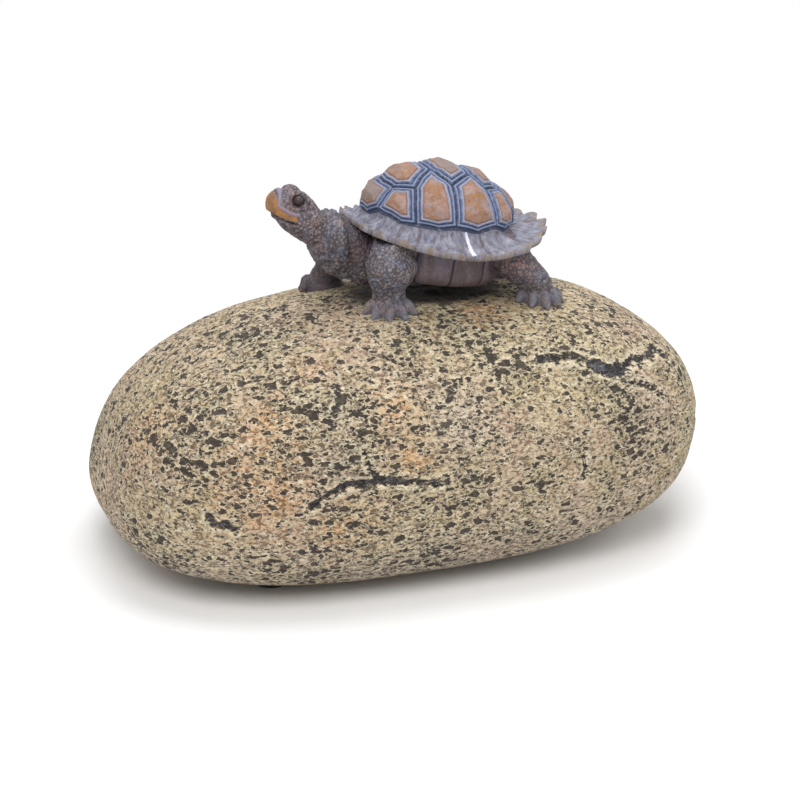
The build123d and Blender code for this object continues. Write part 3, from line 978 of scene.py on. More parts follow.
    def crown_at(self, x: Array, y: Array) -> Array:
        """Height of the pebble's upper side over places of its plan."""
        height = np.full(np.shape(x), self.rise, float)
        for _ in range(12):
            along = x - self.lean * height
            end = np.where(along > 0, self.back, self.front)
            out = np.abs(along / end) ** self.plan_power + np.abs(y / self.half_width) ** self.plan_power
            inside = np.maximum(0.0, 1 - out ** (self.side_power / self.plan_power))
            height = self.rise * inside ** (1 / self.side_power)
        return self.waist + height

    def crack_gap(self, points: Array) -> Array:
        """Distance in millimetres to the edge of the nearest crack."""
        seen = np.array([1.0, 0.3, 1.0])
        bends = np.stack([ripple(points, 4.0, salt, 2) for salt in (61, 67, 71)], axis=1)
        warped = points + bends * (0.5, 0.0, 0.4)
        nearest = np.full(len(points), 9.0)
        for half_width, places_on in self.cracks:
            route = np.array([self.near_side(along, height) for along, height in places_on])
            nearest = np.minimum(nearest, route_distance(warped * seen, route * seen) - half_width)
        return nearest

    def stains(self, points: Array, stain: Stain) -> Array:
        """How strongly one stain lies on each point, 0 to 1."""
        wild = smooth(ripple(points, 24.0, 100 + len(stain.value) * 7, 3), 0.35, 0.8) * (points[:, 1] > -10)
        total = wild * 0.8
        for patch in self.patches:
            if patch.stain is stain:
                centre = self.near_side(patch.along, patch.height)
                gap = np.linalg.norm(points - centre, axis=1) / patch.reach
                total = np.maximum(total, patch.strength * np.exp(-gap * gap))
        return total * (0.6 + 0.4 * ripple(points, 3.5, 41, 2))

    def relief(self, points: Array) -> Array:
        """How far the cast surface stands out or lies back at each point."""
        swell = ripple(points, 30.0, 3, 2) * 0.35 + ripple(points, 8.0, 5, 2) * 0.16
        flat = points * np.array([0.8, 0.8, 1.25])
        pits = smooth(ripple(flat, 2.4, 9, 2), 0.25, 0.7) * 0.35
        gap = self.crack_gap(points)
        cracks = (1 - smooth(gap, -0.6, 0.5)) * 0.9 - np.exp(-(((gap - 1.0) / 0.6) ** 2)) * 0.3
        return swell - pits - cracks

    def cutters(self) -> list[Form]:
        """The room for the tray, its way out, the feet and the key well."""
        low, high = box_of("key_tray")
        screws_low, screws_high = box_of("tray_screws")
        door_high = box_of("sliding_door")[1]
        gasket_top = box_of("tray_gasket")[1][2]
        pad_top = box_of("foot_pad_front_left")[1][2]
        gap, floor = self.pocket_gap, self.base - self.cut_below
        middle = (low[0] + high[0]) / 2
        half = ((high[0] - low[0]) / 2 + gap, self.pocket_half_width + gap)
        well_x = (screws_high[0] + screws_low[0]) / 2
        ear_x = (screws_high[0] - screws_low[0]) / 2 - self.ear_inset
        ear = self.ear_radius + gap
        channel = (door_high[0] + self.channel_reach, 0)
        forms = [
            block((middle, 0), half, self.pocket_corner, floor, gasket_top),
            block((well_x, 0), self.well_half, self.well_corner, floor, high[2] + self.well_headroom),
            block(channel, (self.channel_reach, door_high[1] + 0.5), 0.3, floor, door_high[2] - 0.3),
        ]
        for side in (-1, 1):
            centre = (well_x + side * ear_x, 0)
            forms.append(block(centre, (ear, high[1] + gap), ear - 0.05, floor, gasket_top))
        for end, side in product(("front", "rear"), ("left", "right")):
            pad_low, pad_high = box_of(f"foot_pad_{end}_{side}")
            centre, reach = (pad_low + pad_high) / 2, (pad_high[0] - pad_low[0]) / 2
            forms.append(block(tuple(centre[:2]), (reach, reach), reach - 0.05, floor, pad_top))
        return forms

    def build(self) -> bpy.types.Object:
        """Make the pebble with its pocket."""
        piece = Form.of_rings(self.rings()).build("pebble")
        points = places(piece)
        above = smooth(points[:, 2], self.base + 0.3, self.base + 4.0)
        push(piece, self.relief(points) * above)
        tools = []
        for index, form in enumerate(self.cutters()):
            tool = form.build(f"cutter_{index}")
            cut = piece.modifiers.new(f"cut_{index}", "BOOLEAN")
            cut.operation = "DIFFERENCE"
            cut.solver = "MANIFOLD"
            cut.object = tool
            tools.append(tool)
        applied(piece)
        for tool in tools:
            bpy.data.objects.remove(tool)
        points = places(piece)
        facing = normals(piece)
        mark(piece, "crack", self.crack_gap(points))
        pits = self.stains(points, Stain.PITS) + 0.4 * ripple(points, 11.0, 23) + 0.3
        mark(piece, "pits", np.clip(pits, 0, 1.4))
        for stain in (Stain.OCHRE, Stain.SAGE, Stain.CHALK):
            mark(piece, stain.value, np.clip(self.stains(points, stain), 0, 1))
        # Painted shadow: the crown under the tortoise's body is marked "shade" to be painted dark.
        under = np.hypot((points[:, 0] - 8.5) / 22.0, points[:, 1] / 11.5)
        under += 0.1 * ripple(points, 3.0, 37, 2)
        mark(piece, "shade", (1 - smooth(under, 0.8, 1.1)) * (points[:, 2] > 50))
        low = 1 - smooth(points[:, 2], 6.0, 26.0)
        mark(piece, "rim", np.clip(low * (0.6 + 0.5 * ripple(points, 9.0, 31)), 0, 1))
        inside = (points[:, 2] < self.base + 0.25) | (np.abs(facing[:, 2]) < 0.05) & (points[:, 2] < 8.8)
        mark(piece, "base", inside.astype(float))
        return dress(piece, PebbleFinish().build(), ["rock_casting"])


def box_of(node: str) -> tuple[Array, Array]:
    """The two corners of a CAD node's box in millimetres."""
    low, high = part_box(node)
    return np.array(low) / MM, np.array(high) / MM


def block(
    centre: Sequence[float], half: Sequence[float], corner: float, low: float, high: float
) -> Form:
    """An upright block with rounded corners in plan.

    Args:
        centre: Its middle in plan.
        half: Its half sizes in plan.
        corner: The radius of its corners.
        low: Its lower face.
        high: Its upper face.

    Returns:
        The closed form.
    """
    outline = []
    steps = 8
    for quarter, (sx, sy) in enumerate(((1, 1), (-1, 1), (-1, -1), (1, -1))):
        for step in range(steps + 1):
            turn = math.pi / 2 * (quarter + step / steps)
            x = centre[0] + sx * (half[0] - corner) + corner * math.cos(turn)
            y = centre[1] + sy * (half[1] - corner) + corner * math.sin(turn)
            outline.append((x, y))
    rings = np.array([[(x, y, level) for x, y in outline] for level in (low, high)])
    return Form.of_rings(rings)


# ------------------------------------------------------------------ tortoise


@dataclass
class Shell:
    """The tortoise's upper shell, in its own level frame with its middle at the origin."""

    along: float = 11.2
    lift: float = 78.1
    pitch: float = 9.5
    half_length: float = 19.5
    half_width: float = 17.0
    height: float = 14.0
    rim_scutes: int = 24
    front_flare: float = 3.6
    back_flare: float = 7.8
    front_edge: float = -0.8
    side_edge: float = -3.3
    back_edge: float = 2.6
    rim_radius: float = 24.5
    white_line: float = 4.78
    dome_end: float = 0.96
    around: int = 440
    dome_rings: int = 140
    rim_rings: int = 40
    arc: float = 26.0
    joints: tuple[float, ...] = (-0.985, -0.76, -0.29, 0.21, 0.62, 0.985)
    joint_widths: tuple[float, ...] = (0.16, 0.30, 0.25, 0.33, 0.30, 0.16)
    side_points: tuple[tuple[float, float], ...] = (
        (-0.91, 0.36), (-0.54, 0.51), (-0.09, 0.60), (0.40, 0.53), (0.84, 0.42),
    )
    rib_feet: tuple[tuple[float, float], ...] = (
        (-0.79, 0.60), (-0.555, 0.825), (-0.07, 0.985), (0.49, 0.85), (0.80, 0.58),
    )
    rib_middles: tuple[tuple[float, float], ...] = (
        (-0.71, 0.70), (-0.31, 0.947), (0.22, 0.972), (0.67, 0.735),
    )

    def outlines(self) -> list[Array]:
        """Outlines of the dome's scutes on a flat map where every line from its middle is true."""
        found = []
        for index, side in enumerate(self.side_points):
            half = [(self.joints[index], self.joint_widths[index]), side,
                    (self.joints[index + 1], self.joint_widths[index + 1])]
            found.append(half + [(u, -v) for u, v in reversed(half)])
        for index, middle in enumerate(self.rib_middles):
            ribs = [self.side_points[index], (self.joints[index + 1], self.joint_widths[index + 1]),
                    self.side_points[index + 1], self.rib_feet[index + 1], middle, self.rib_feet[index]]
            found += [ribs, [(u, -v) for u, v in ribs]]
        return [self.flat_map(np.array(outline)) for outline in found]

    @staticmethod
    def flat_map(shares: Array) -> Array:
        """Plan places, in shares of the half sizes, on the flat map."""
        reach = np.clip(np.linalg.norm(shares, axis=1), 1e-9, 1.0)
        return shares * (np.arcsin(reach) / (math.pi / 2) / reach)[:, None]

    def seam_gap(self, spots: Array) -> Array:
        """Distance in millimetres from each spot of the flat map to the edge of its scute."""
        best = np.full(len(spots), -9.0)
        for outline in self.outlines():
            inner = np.full(len(spots), 9.0)
            centre = outline.mean(axis=0)
            for start, end in zip(outline, np.roll(outline, -1, axis=0)):
                run = (end - start) / np.linalg.norm(end - start)
                out = np.array([run[1], -run[0]])
                if (centre - start) @ out > 0:
                    out = -out
                inner = np.minimum(inner, (start - spots) @ out)
            best = np.maximum(best, inner)
        return best * self.arc

    def edge_height(self, turns: Array) -> Array:
        """Height of the rim's edge around the shell."""
        end = np.where(np.cos(turns) > 0, self.back_edge, self.front_edge)
        return end + (self.side_edge - end) * np.sin(turns) ** 2

    def scute_relief(self, gap: Array) -> Array:
        """Ridges and the raised middle of a scute, by the distance from its edge."""
        ridge = smooth(gap, 0.1, 0.5) * 0.7 - np.exp(-(((gap - 1.08) / 0.2) ** 2)) * 0.35
        ledge = smooth(gap, 1.15, 1.55) * 0.3 - np.exp(-(((gap - 2.12) / 0.14) ** 2)) * 0.2
        crown = smooth(gap, 2.05, 2.45) * 0.2 + smooth(gap, 2.2, 5.5) * 0.65
        return ridge + ledge + crown - 0.7

    def rings(self) -> tuple[Array, dict[str, Array]]:
        """The shell's rings from its top over the rim to the middle of its underside, with their marks."""
        turns = np.linspace(0, 2 * np.pi, self.around, endpoint=False)
        cos, sin = np.cos(turns), np.sin(turns)
        sizes = np.array([self.half_length, self.half_width])
        steps = np.linspace(0.012, self.dome_end, self.dome_rings)[:, None]
        spots = np.stack([steps * cos, steps * sin], axis=-1).reshape(-1, 2)
        noise_at = np.concatenate([spots * self.arc, np.zeros((len(spots), 1))], axis=1)
        warp = np.stack([ripple(noise_at, 5.0, 83, 2), ripple(noise_at, 5.0, 89, 2)], axis=1) * 0.012
        gap = self.seam_gap(spots + warp)
        polar = np.repeat(steps, self.around, axis=1).ravel() * math.pi / 2
        facing = np.repeat(turns[None], self.dome_rings, axis=0).ravel()
        lift = self.scute_relief(np.maximum(gap, 0.0)) + ripple(noise_at, 1.8, 97, 3) * 0.14
        reach = np.sin(polar)
        aside, ahead = np.abs(reach * np.sin(facing)), reach * np.cos(facing)
        top = (1 - smooth(aside, 0.3, 0.5)) * smooth(ahead, -0.35, -0.2)
        dull = np.clip(top + 1 - smooth(ahead, -0.85, -0.75), 0, 1)
        dome = np.stack(
            [reach * np.cos(facing) * (sizes[0] + lift), reach * np.sin(facing) * (sizes[1] + lift),
             np.cos(polar) * (self.height + lift)], axis=1
        ).reshape(self.dome_rings, self.around, 3)
        start = dome[-1]
        middle = (self.front_flare + self.back_flare) / 2
        phase = np.mod(turns * self.rim_scutes / (2 * np.pi), 1.0)
        joint = np.minimum(phase, 1 - phase) * 2 * np.pi * self.rim_radius / self.rim_scutes
        nib = smooth(joint, 0.0, 2.6)
        flare = middle + (self.back_flare - middle) * cos + 0.9 * nib - 0.5 + 0.25 * np.sin(turns * 7.3)
        height = self.edge_height(turns) + 0.3 * nib
        edge = np.stack([(sizes[0] + flare) * cos, (sizes[1] + flare) * sin, height], axis=1)
        rim = []
        for share in np.linspace(0.0, 1.0, self.rim_rings + 1)[1:]:
            ring = start * (1 - share) + edge * share
            ring[:, 2] -= 0.9 * math.sin(math.pi * share) * (1 - 0.35 * cos)
            swell = 0.45 * smooth(joint, 0.0, 0.8) + 0.5 * smooth(joint, 0.4, 3.2) - 0.55
            spot = np.stack([turns * 22.0, np.full_like(turns, share * 1.2), turns * 0], axis=1)
            ring[:, 2] += (swell + ripple(spot, 0.8, 131, 2) * 0.16) * min(1.0, share * 5)
            rim.append(ring)
        under = []
        for share, drop in ((1.0, 0.55), (0.985, 1.2), (0.95, 1.5), (0.6, 1.5), (0.25, 1.5)):
            ring = start * (1 - share) + edge * share
            ring[:, 2] -= drop
            under.append(ring)
        flat = np.stack([sizes[0] * 0.95 * cos, sizes[1] * 0.95 * sin, np.zeros_like(cos)], axis=1)
        under += [flat, flat * 0.5, flat * 0.02]
        rings = np.concatenate([dome, np.array(rim), np.array(under)])[::-1]
        count = len(rim) + len(under)
        around = np.ones(self.around)
        marks = {
            "seam": np.concatenate([gap, np.zeros(count * self.around)]),
            "rim": np.concatenate([(gap < -0.9).astype(float), np.ones(count * self.around)]),
            "edge": np.concatenate(
                [np.zeros(self.dome_rings * self.around)]
                + [around * share for share in np.linspace(0, 1, self.rim_rings)]
                + [around * 1.2] * len(under)
            ),
            "dull": np.concatenate([dull, np.zeros(self.around * count)]),
            "joint": np.concatenate([np.full(self.dome_rings * self.around, 3.0)] + [joint] * count),
            "white_line": np.tile(np.abs(turns - self.white_line) * 20.0, len(dome) + count),
        }
        across = np.repeat(np.arange(len(rings))[:, None] * 0.09, self.around, axis=1)
        walk = np.repeat((np.abs(turns - np.pi) * self.rim_radius)[None], len(rings), axis=0)
        marks["flow"] = np.stack([walk.ravel(), across.ravel(), np.zeros(across.size)], axis=1)
        ordered = {}
        for name, values in marks.items():
            shaped = values.reshape(len(rings), self.around, -1)[::-1]
            ordered[name] = shaped.reshape(-1, 3) if name == "flow" else shaped.ravel()
        return rings, ordered

    def build(self) -> bpy.types.Object:
        """Make the upper shell."""
        rings, marks = self.rings()
        form = Form.of_rings(rings)
        form.points = turned(form.points, self.pitch, 0.0) + np.array([self.along, 0.0, self.lift])
        piece = form.build("upper_shell")
        for name, values in marks.items():
            mark(piece, name, values)
        return dress(piece, ShellFinish().build(), ["carapace"])


@dataclass
class Belly:
    """The lower shell: an oval block of bulging plates."""

    shell: Shell
    half_length: float = 17.7
    half_width: float = 15.4
    depth: float = 13.5
    edge: float = 3.4
    plates: int = 12
    mean_radius: float = 16.5
    around: int = 300
    levels: int = 34

    def build(self) -> bpy.types.Object:
        """Make the lower shell."""
        turns = np.linspace(0, 2 * np.pi, self.around, endpoint=False)
        phase = np.mod(turns * self.plates / (2 * np.pi), 1.0)
        joint = np.minimum(phase, 1 - phase) * 2 * np.pi * self.mean_radius / self.plates
        rows = []
        marks = []
        for level in np.linspace(0.0, 1.0, self.levels):
            height = -self.depth * (1 - level)
            below = max(0.0, 1 - level * self.depth / self.edge)
            inset = self.edge * (1 - math.sqrt(max(0.0, 1 - below**2)))
            bulge = 0.5 * smooth(joint, 0.0, 1.6) * min(1.0, level * 4) - 0.35
            ring = np.stack(
                [(self.half_length - inset + bulge) * np.cos(turns),
                 (self.half_width - inset + bulge) * np.sin(turns),
                 np.full(self.around, height)], axis=1
            )
            rows.append(ring)
            marks.append(np.full(self.around, 1 - min(1.0, level * 2.2)))
        floor = [rows[0] * np.array([share, share, 1.0]) for share in (0.02, 0.4, 0.75)]
        rings = np.array(floor + rows)
        form = Form.of_rings(rings)
        form.points = turned(form.points, self.shell.pitch, 0.0)
        form.points += np.array([self.shell.along, 0.0, self.shell.lift])
        piece = form.build("lower_shell")
        low = np.concatenate([np.ones(self.around * 3), *marks])
        mark(piece, "low", low)
        mark(piece, "joint", np.tile(joint, len(rings)))
        push(piece, ripple(places(piece), 2.0, 113, 2) * 0.12)
        return dress(piece, BellyFinish().build(), ["belly_shell"])


class Skin:
    """Shared work on the tortoise's scaly pieces, whose heights are above the pebble's crown."""

    crown: float = 60.5
    grain: float = 0.23
    scale_size: float = 0.85
    scale_height: float = 0.14

    def cover(self, piece: bpy.types.Object, salt: int, bare: Optional[Array] = None) -> None:
        """Raise scales and folds all over a piece and mark them for the paint.

        Args:
            piece: The smooth piece.
            salt: Which scatter of scales to take.
            bare: Where it stays smooth, 0 to 1 for each point.
        """
        points = places(piece)
        warped = points + np.stack([ripple(points, 2.2, salt + k, 2) for k in (1, 2, 3)], axis=1) * 0.4
        first, second = pebbles(warped, self.scale_size, salt)
        wide_first, wide_second = pebbles(warped, self.scale_size * 2.6, salt + 31)
        folds = smooth(wide_second - wide_first, 0.0, 0.22)
        uneven = 0.7 + 0.4 * ripple(points, 2.5, salt + 9, 2)
        top = smooth(second - first, 0.0, 0.5) * uneven * (0.45 + 0.55 * folds)
        if bare is None:
            bare = np.zeros(len(points))
        wrinkles = ripple(points * np.array([1.0, 1.0, 0.6]), 2.4, salt + 5, 2) * 0.17
        relief = (top - 0.5) * self.scale_height + (folds - 1) * 0.16 + wrinkles
        push(piece, relief * (1 - bare))
        mark(piece, "scale", top * (1 - bare) + 0.55 * bare)

    @staticmethod
    def leave(piece: bpy.types.Object, *names: str) -> None:
        """Mark a piece as having none of some paints."""
        for name in names:
            mark(piece, name, np.zeros(len(places(piece))))


@dataclass
class Head(Skin):
    """Neck, collar of folded skin and head."""

    sections: tuple[tuple[float, float, float, float, float], ...] = (
        (-2.0, 9.0, 10.0, 7.0, 7.2),
        (-8.0, 10.4, 20.0, 7.4, 7.5),
        (-12.6, 14.2, 32.0, 7.2, 7.0),
        (-16.8, 16.9, 33.0, 6.6, 5.5),
        (-20.2, 18.7, 34.0, 5.3, 4.4),
        (-23.2, 21.6, 30.0, 5.3, 5.1),
        (-25.9, 23.2, 18.0, 5.2, 4.8),
        (-28.3, 24.7, 10.0, 4.0, 4.0),
        (-30.1, 25.2, 6.0, 2.9, 3.0),
        (-31.3, 25.3, 6.0, 1.7, 1.9),
    )
    line_route: tuple[tuple[float, float], ...] = (
        (-27.6, 29.4), (-28.7, 28.2), (-29.1, 26.6), (-29.4, 25.3), (-28.4, 24.6), (-26.8, 23.6),
        (-25.2, 23.2),
    )
    mouth_route: tuple[tuple[float, float], ...] = (
        (-31.6, 23.4), (-30.2, 22.6), (-28.2, 21.6), (-27.0, 21.1), (-25.2, 20.6),
    )
    lip_route: tuple[tuple[float, float], ...] = (
        (-29.6, 24.0), (-28.3, 23.0), (-27.1, 22.6), (-25.8, 22.2),
    )
    eye: tuple[float, float, float] = (-24.9, 4.4, 26.5)
    collar_front: tuple[float, float, float] = (-17.6, 22.7, 0.42)
    collar_back: float = -13.3

    def forms(self) -> list[Form]:
        """The closed forms that the head is fused from."""
        rows = []
        for x, height, tilt, half_width, half_height in self.sections:
            slope = math.radians(tilt)
            rows.append([(x, 0.0, self.crown + height), (0.0, -half_width, 0.0),
                         (half_height * math.sin(slope), 0.0, half_height * math.cos(slope))])
        forms = [tube(np.array(rows))]
        for side in (-1, 1):
            forms.append(ball((-10.5, side * 1.5, self.crown + 8.7), (4.6, 5.0, 4.7), 20))
            forms.append(ball((-24.2, side * 2.9, self.crown + 26.3), (3.0, 1.7, 1.9), 30))
            forms.append(ball((-21.6, side * 3.6, self.crown + 21.0), (2.6, 2.1, 2.4), 30))
        return forms

    def flat_gap(self, points: Array, route: Sequence[tuple[float, float]]) -> Array:
        """Distance in side view from a route of places along and above the crown."""
        flat = points * np.array([1.0, 0.0, 1.0])
        return route_distance(flat, np.array([(x, 0.0, z + self.crown) for x, z in route]))

    def collar(self, points: Array) -> Array:
        """How far the roll of skin in front of the shell stands out."""
        along, height, slope = self.collar_front
        front = along + (points[:, 2] - self.crown - height) * slope
        share = (points[:, 0] - front) / (self.collar_back - front)
        roll = np.clip(1 - np.abs(2 * share - 1) ** 2.5, 0, 1) * 1.35
        roll *= 1 - 0.55 * smooth(points[:, 2] - self.crown, 18.0, 22.0)
        creases = np.exp(-((share / 0.10) ** 2)) * 0.6 + np.exp(-(((share - 1.06) / 0.10) ** 2)) * 0.9
        folds = 0.2 * np.sin(share * 19.0) * (np.abs(share - 0.5) < 0.4)
        return roll - creases + folds - 0.6 * smooth(share, 1.0, 1.15)

    def build(self) -> bpy.types.Object:
        """Make the neck and head."""
        piece = fused("head_and_neck_skin", self.forms(), self.grain, 3)
        push(piece, self.collar(places(piece)))
        points = places(piece)
        mouth = self.flat_gap(points, self.mouth_route)
        line = self.flat_gap(points, self.line_route)
        lip = self.flat_gap(points, self.lip_route)
        snout = points[:, 0] + 0.28 * (points[:, 2] - self.crown - 25.0) + ripple(points, 2.0, 7, 2) * 0.25
        beak = (1 - smooth(snout, -29.5, -28.9)) * smooth(points[:, 2] - self.crown, 22.2, 23.0)
        beak = np.maximum(beak, (1 - smooth(lip, 0.5, 0.85)) * (points[:, 0] < -25.6))
        self.cover(piece, 5, np.clip(beak + (1 - smooth(line, 0.2, 0.6)), 0, 1) * 0.9)
        push(piece, -0.6 * (1 - smooth(mouth, 0.15, 0.5)) + 0.22 * (1 - smooth(line, 0.1, 0.5)))
        # Painted shade: the eye hollows get dark paint through the "socket" mark.
        hollow = np.zeros(len(points))
        for side in (-1, 1):
            socket = np.array([self.eye[0], side * self.eye[1], self.crown + self.eye[2]])
            offset = (places(piece) - socket) @ np.array([[0.75, 0, 0.3], [0, 1, 0], [-0.3, 0, 0.95]])
            gap = np.linalg.norm(offset, axis=1)
            push(piece, -0.55 * (1 - smooth(gap, 0.8, 1.6)) + 0.35 * np.exp(-(((gap - 2.1) / 0.4) ** 2)))
            hollow = np.maximum(hollow, 1 - smooth(gap, 1.2, 1.55))
        mark(piece, "beak", beak)
        mark(piece, "line", 1 - smooth(line, 0.1, 0.42))
        fading = 1 - smooth(points[:, 0], -26.4, -25.0) * 0.7
        mark(piece, "mouth", (1 - smooth(mouth, 0.12, 0.42)) * fading)
        height = points[:, 2] - self.crown
        # Painted shade in the recess behind the collar, under the shell.
        recess = smooth(points[:, 0], -13.8, -12.6) * smooth(height, 7.0, 10.0) * 0.5
        mark(piece, "socket", np.maximum(hollow, recess))
        between = smooth(height, 9.0, 12.0) * (1 - smooth(height, 19.0, 22.0))
        under = smooth(points[:, 0], -13.6, -12.6) * between * 0.5
        mark(piece, "rust", np.maximum(under, 0.3 * (1 - smooth(points[:, 0], -21.0, -17.5))))
        return dress(piece, SKIN, ["head_and_neck"])


class End(Enum):
    """Which pair a leg belongs to."""

    FRONT = "front"
    REAR = "rear"


# Each section of a limb: height, place along, place out, half length and half width.
LIMBS: dict[End, tuple[tuple[float, ...], ...]] = {
    End.FRONT: (
        (16.6, -4.2, 11.2, 4.4, 4.1), (14.2, -4.8, 12.1, 5.1, 4.8), (11.2, -4.9, 12.9, 6.2, 5.4),
        (7.9, -4.9, 12.5, 5.5, 5.0), (4.9, -5.2, 11.6, 4.1, 4.1),
    ),
    End.REAR: (
        (16.0, 22.6, 9.8, 4.8, 4.4), (12.0, 24.6, 11.2, 5.6, 5.0), (8.6, 27.0, 12.3, 5.9, 5.2),
        (5.2, 29.8, 12.4, 5.7, 5.0), (2.8, 31.9, 11.9, 4.9, 4.6),
    ),
}


@dataclass
class Leg(Skin):
    """One leg with its toes and claws."""

    pebble: Pebble
    end: End
    side: int
    foot: tuple[float, float]
    stride: float = 0.0
    splay: float = 0.0
    toe_turn: float = 70.0
    toe_spread: float = 37.5
    toes: int = 5
    toe_tilt: float = -18.0
    reach: float = 3.9
    hip: tuple[float, float, float] = (26.0, 14.0, 9.5)
    hip_reach: float = 4.2

    def sections(self) -> Array:
        """Level oval sections from under the shell to the sole."""
        limb = LIMBS[self.end]
        x, y = self.foot
        top = limb[0][0]
        rows = []
        for height, along, out, half_length, half_width in limb:
            reached = (top - height) / top
            aside = self.side * (out + self.splay * reached)
            centre = (along - self.stride * reached, aside, self.crown + height)
            rows.append([centre, (half_length, 0.0, 0.0), (0.0, half_width, 0.0)])
        ground = self.ground(x, y)
        for lift, half_length, half_width in ((2.2, 4.3, 4.1), (0.8, 4.8, 4.5), (-2.0, 4.8, 4.5)):
            centre = (x, self.side * y, ground + lift)
            rows.append([centre, (half_length, 0.0, 0.0), (0.0, half_width, 0.0)])
        return np.array(rows)[::-1]

    def ground(self, x: float, y: float) -> float:
        """Height of the pebble under one place."""
        return float(self.pebble.crown_at(np.array(x), np.array(y)))

    def toe(self, turn: float) -> list[Form]:
        """One stout toe with its claw.

        Args:
            turn: Degrees outward from straight ahead.

        Returns:
            Its closed forms.
        """
        x, y = self.foot
        ahead, out = -math.cos(math.radians(turn)), math.sin(math.radians(turn))
        heading = math.degrees(math.atan2(self.side * out, ahead)) - 180
        forms = []
        parts = ((self.reach, (2.4, 1.4, 2.2), 1.5), (self.reach + 1.2, (1.4, 1.2, 1.5), 0.9),
                 (self.reach + 2.2, (0.85, 0.7, 0.8), 0.35))
        for reach, radii, lift in parts:
            toe_x, toe_y = x + ahead * reach, self.side * (y + out * reach)
            centre = (toe_x, toe_y, self.ground(toe_x, toe_y) + lift)
            forms.append(ball(centre, radii, self.toe_tilt, heading))
        return forms

    def build(self) -> bpy.types.Object:
        """Make the leg."""
        name = f"leg_{self.end.value}_{'left' if self.side < 0 else 'right'}"
        forms = [tube(self.sections())]
        for toe in range(self.toes):
            forms += self.toe(self.toe_turn + (toe - (self.toes - 1) / 2) * self.toe_spread)
        piece = fused(f"{name}_skin", forms, self.grain, 2)
        points = places(piece)
        ground = self.pebble.crown_at(points[:, 0], points[:, 1])
        salt = 20 + int(self.foot[0]) + self.side * 3
        self.cover(piece, salt, 0.4 * (1 - smooth(points[:, 2] - ground, 2.0, 5.0)))
        hip = np.array([self.hip[0], self.side * self.hip[1], self.crown + self.hip[2]])
        gap = np.linalg.norm((points - hip) * np.array([0.9, 0.5, 1.2]), axis=1)
        mark(piece, "rust", np.exp(-((gap / self.hip_reach) ** 2)) * (self.end is End.REAR))
        # Painted shade: a leg splayed outward, the far front one, is painted darker all over.
        mark(piece, "socket", np.full(len(points), 0.5 * (self.splay > 0)))
        self.leave(piece, "beak", "line", "mouth")
        return dress(piece, SKIN, [name])


@dataclass
class Tail(Skin):
    """The short tail."""

    sag: float = 0.8
    root: tuple[float, float, float] = (28.8, 12.0, 3.3)
    tip: tuple[float, float, float] = (36.0, 7.0, 0.9)

    def build(self) -> bpy.types.Object:
        """Make the tail."""
        rows = []
        for share in np.linspace(0.0, 1.0, 4):
            x, height, radius = np.array(self.root) * (1 - share) + np.array(self.tip) * share
            height -= self.sag * math.sin(math.pi * share)
            upward = (radius * 0.5, 0.0, radius * 0.85)
            rows.append([(x, 0.0, self.crown + height), (0.0, radius, 0.0), upward])
        piece = fused("tail_skin", [tube(np.array(rows))], self.grain, 2)
        self.cover(piece, 55)
        self.leave(piece, "rust", "beak", "line", "mouth", "socket")
        return dress(piece, SKIN, ["tail"])


# ------------------------------------------------------------------ underside


@dataclass
class Underside:
    """Tray, door, gasket, screws, feet and foam liner.

    The liner's profile is a share of its outline and a level, 0 at its lower face and `liner_top` at its
    upper one.
    """

    liner_corner: float = 4.7
    liner_top: float = 2.0
    liner_profile: tuple[tuple[float, float], ...] = (
        (0.03, -0.1), (0.5, -0.08), (0.9, 0.0), (0.985, 0.25), (1.0, 0.6), (1.0, 1.6), (0.985, 2.0),
        (0.5, 2.0), (0.03, 2.0),
    )

    def dress_nodes(self) -> None:
        """Give the pieces whose solids stay their finishes."""
        plastic = MouldedFinish("tray_plastic", paint(44, 44, 46), paint(66, 66, 68), 0.42).build()
        door = MouldedFinish("door_plastic", paint(52, 52, 54), paint(80, 80, 82), 0.4).build()
        rubber = MouldedFinish("foot_rubber", paint(30, 30, 31), paint(52, 51, 50), 0.72, 0.6, 0.04).build()
        steel = SteelFinish().build()
        eye = EyeFinish().build()
        finishes = {
            "key_tray": plastic, "sliding_door": door, "tray_gasket": rubber, "tray_screws": steel,
            "figure_pins": steel, "eye_left": eye, "eye_right": eye,
        }
        for end, side in product(("front", "rear"), ("left", "right")):
            finishes[f"foot_pad_{end}_{side}"] = rubber
        for name, material in finishes.items():
            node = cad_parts[name]
            node.data.materials.clear()
            node.data.materials.append(material)
            log.info("%s: dressed", name)

    def liner(self) -> bpy.types.Object:
        """Make the foam pad under the well's roof."""
        low, high = box_of("tray_liner")
        centre, half = (low + high) / 2, (high - low) / 2
        solid = block(tuple(centre[:2]), tuple(half[:2]), self.liner_corner, low[2], high[2]).points
        outline = solid[: len(solid) // 2]
        rows = []
        for share, level in self.liner_profile:
            ring = centre + (outline - centre) * np.array([share, share, 0.0])
            ring[:, 2] = low[2] + max(0.0, level) * (high[2] - low[2]) / self.liner_top
            rows.append(ring)
        piece = Form.of_rings(np.array(rows)).build("foam_liner")
        piece.modifiers.new("soft", "SUBSURF").levels = 2
        applied(piece)
        dress(piece, FoamFinish().build(), ["tray_liner"])
        return piece


# ------------------------------------------------------------------ stage


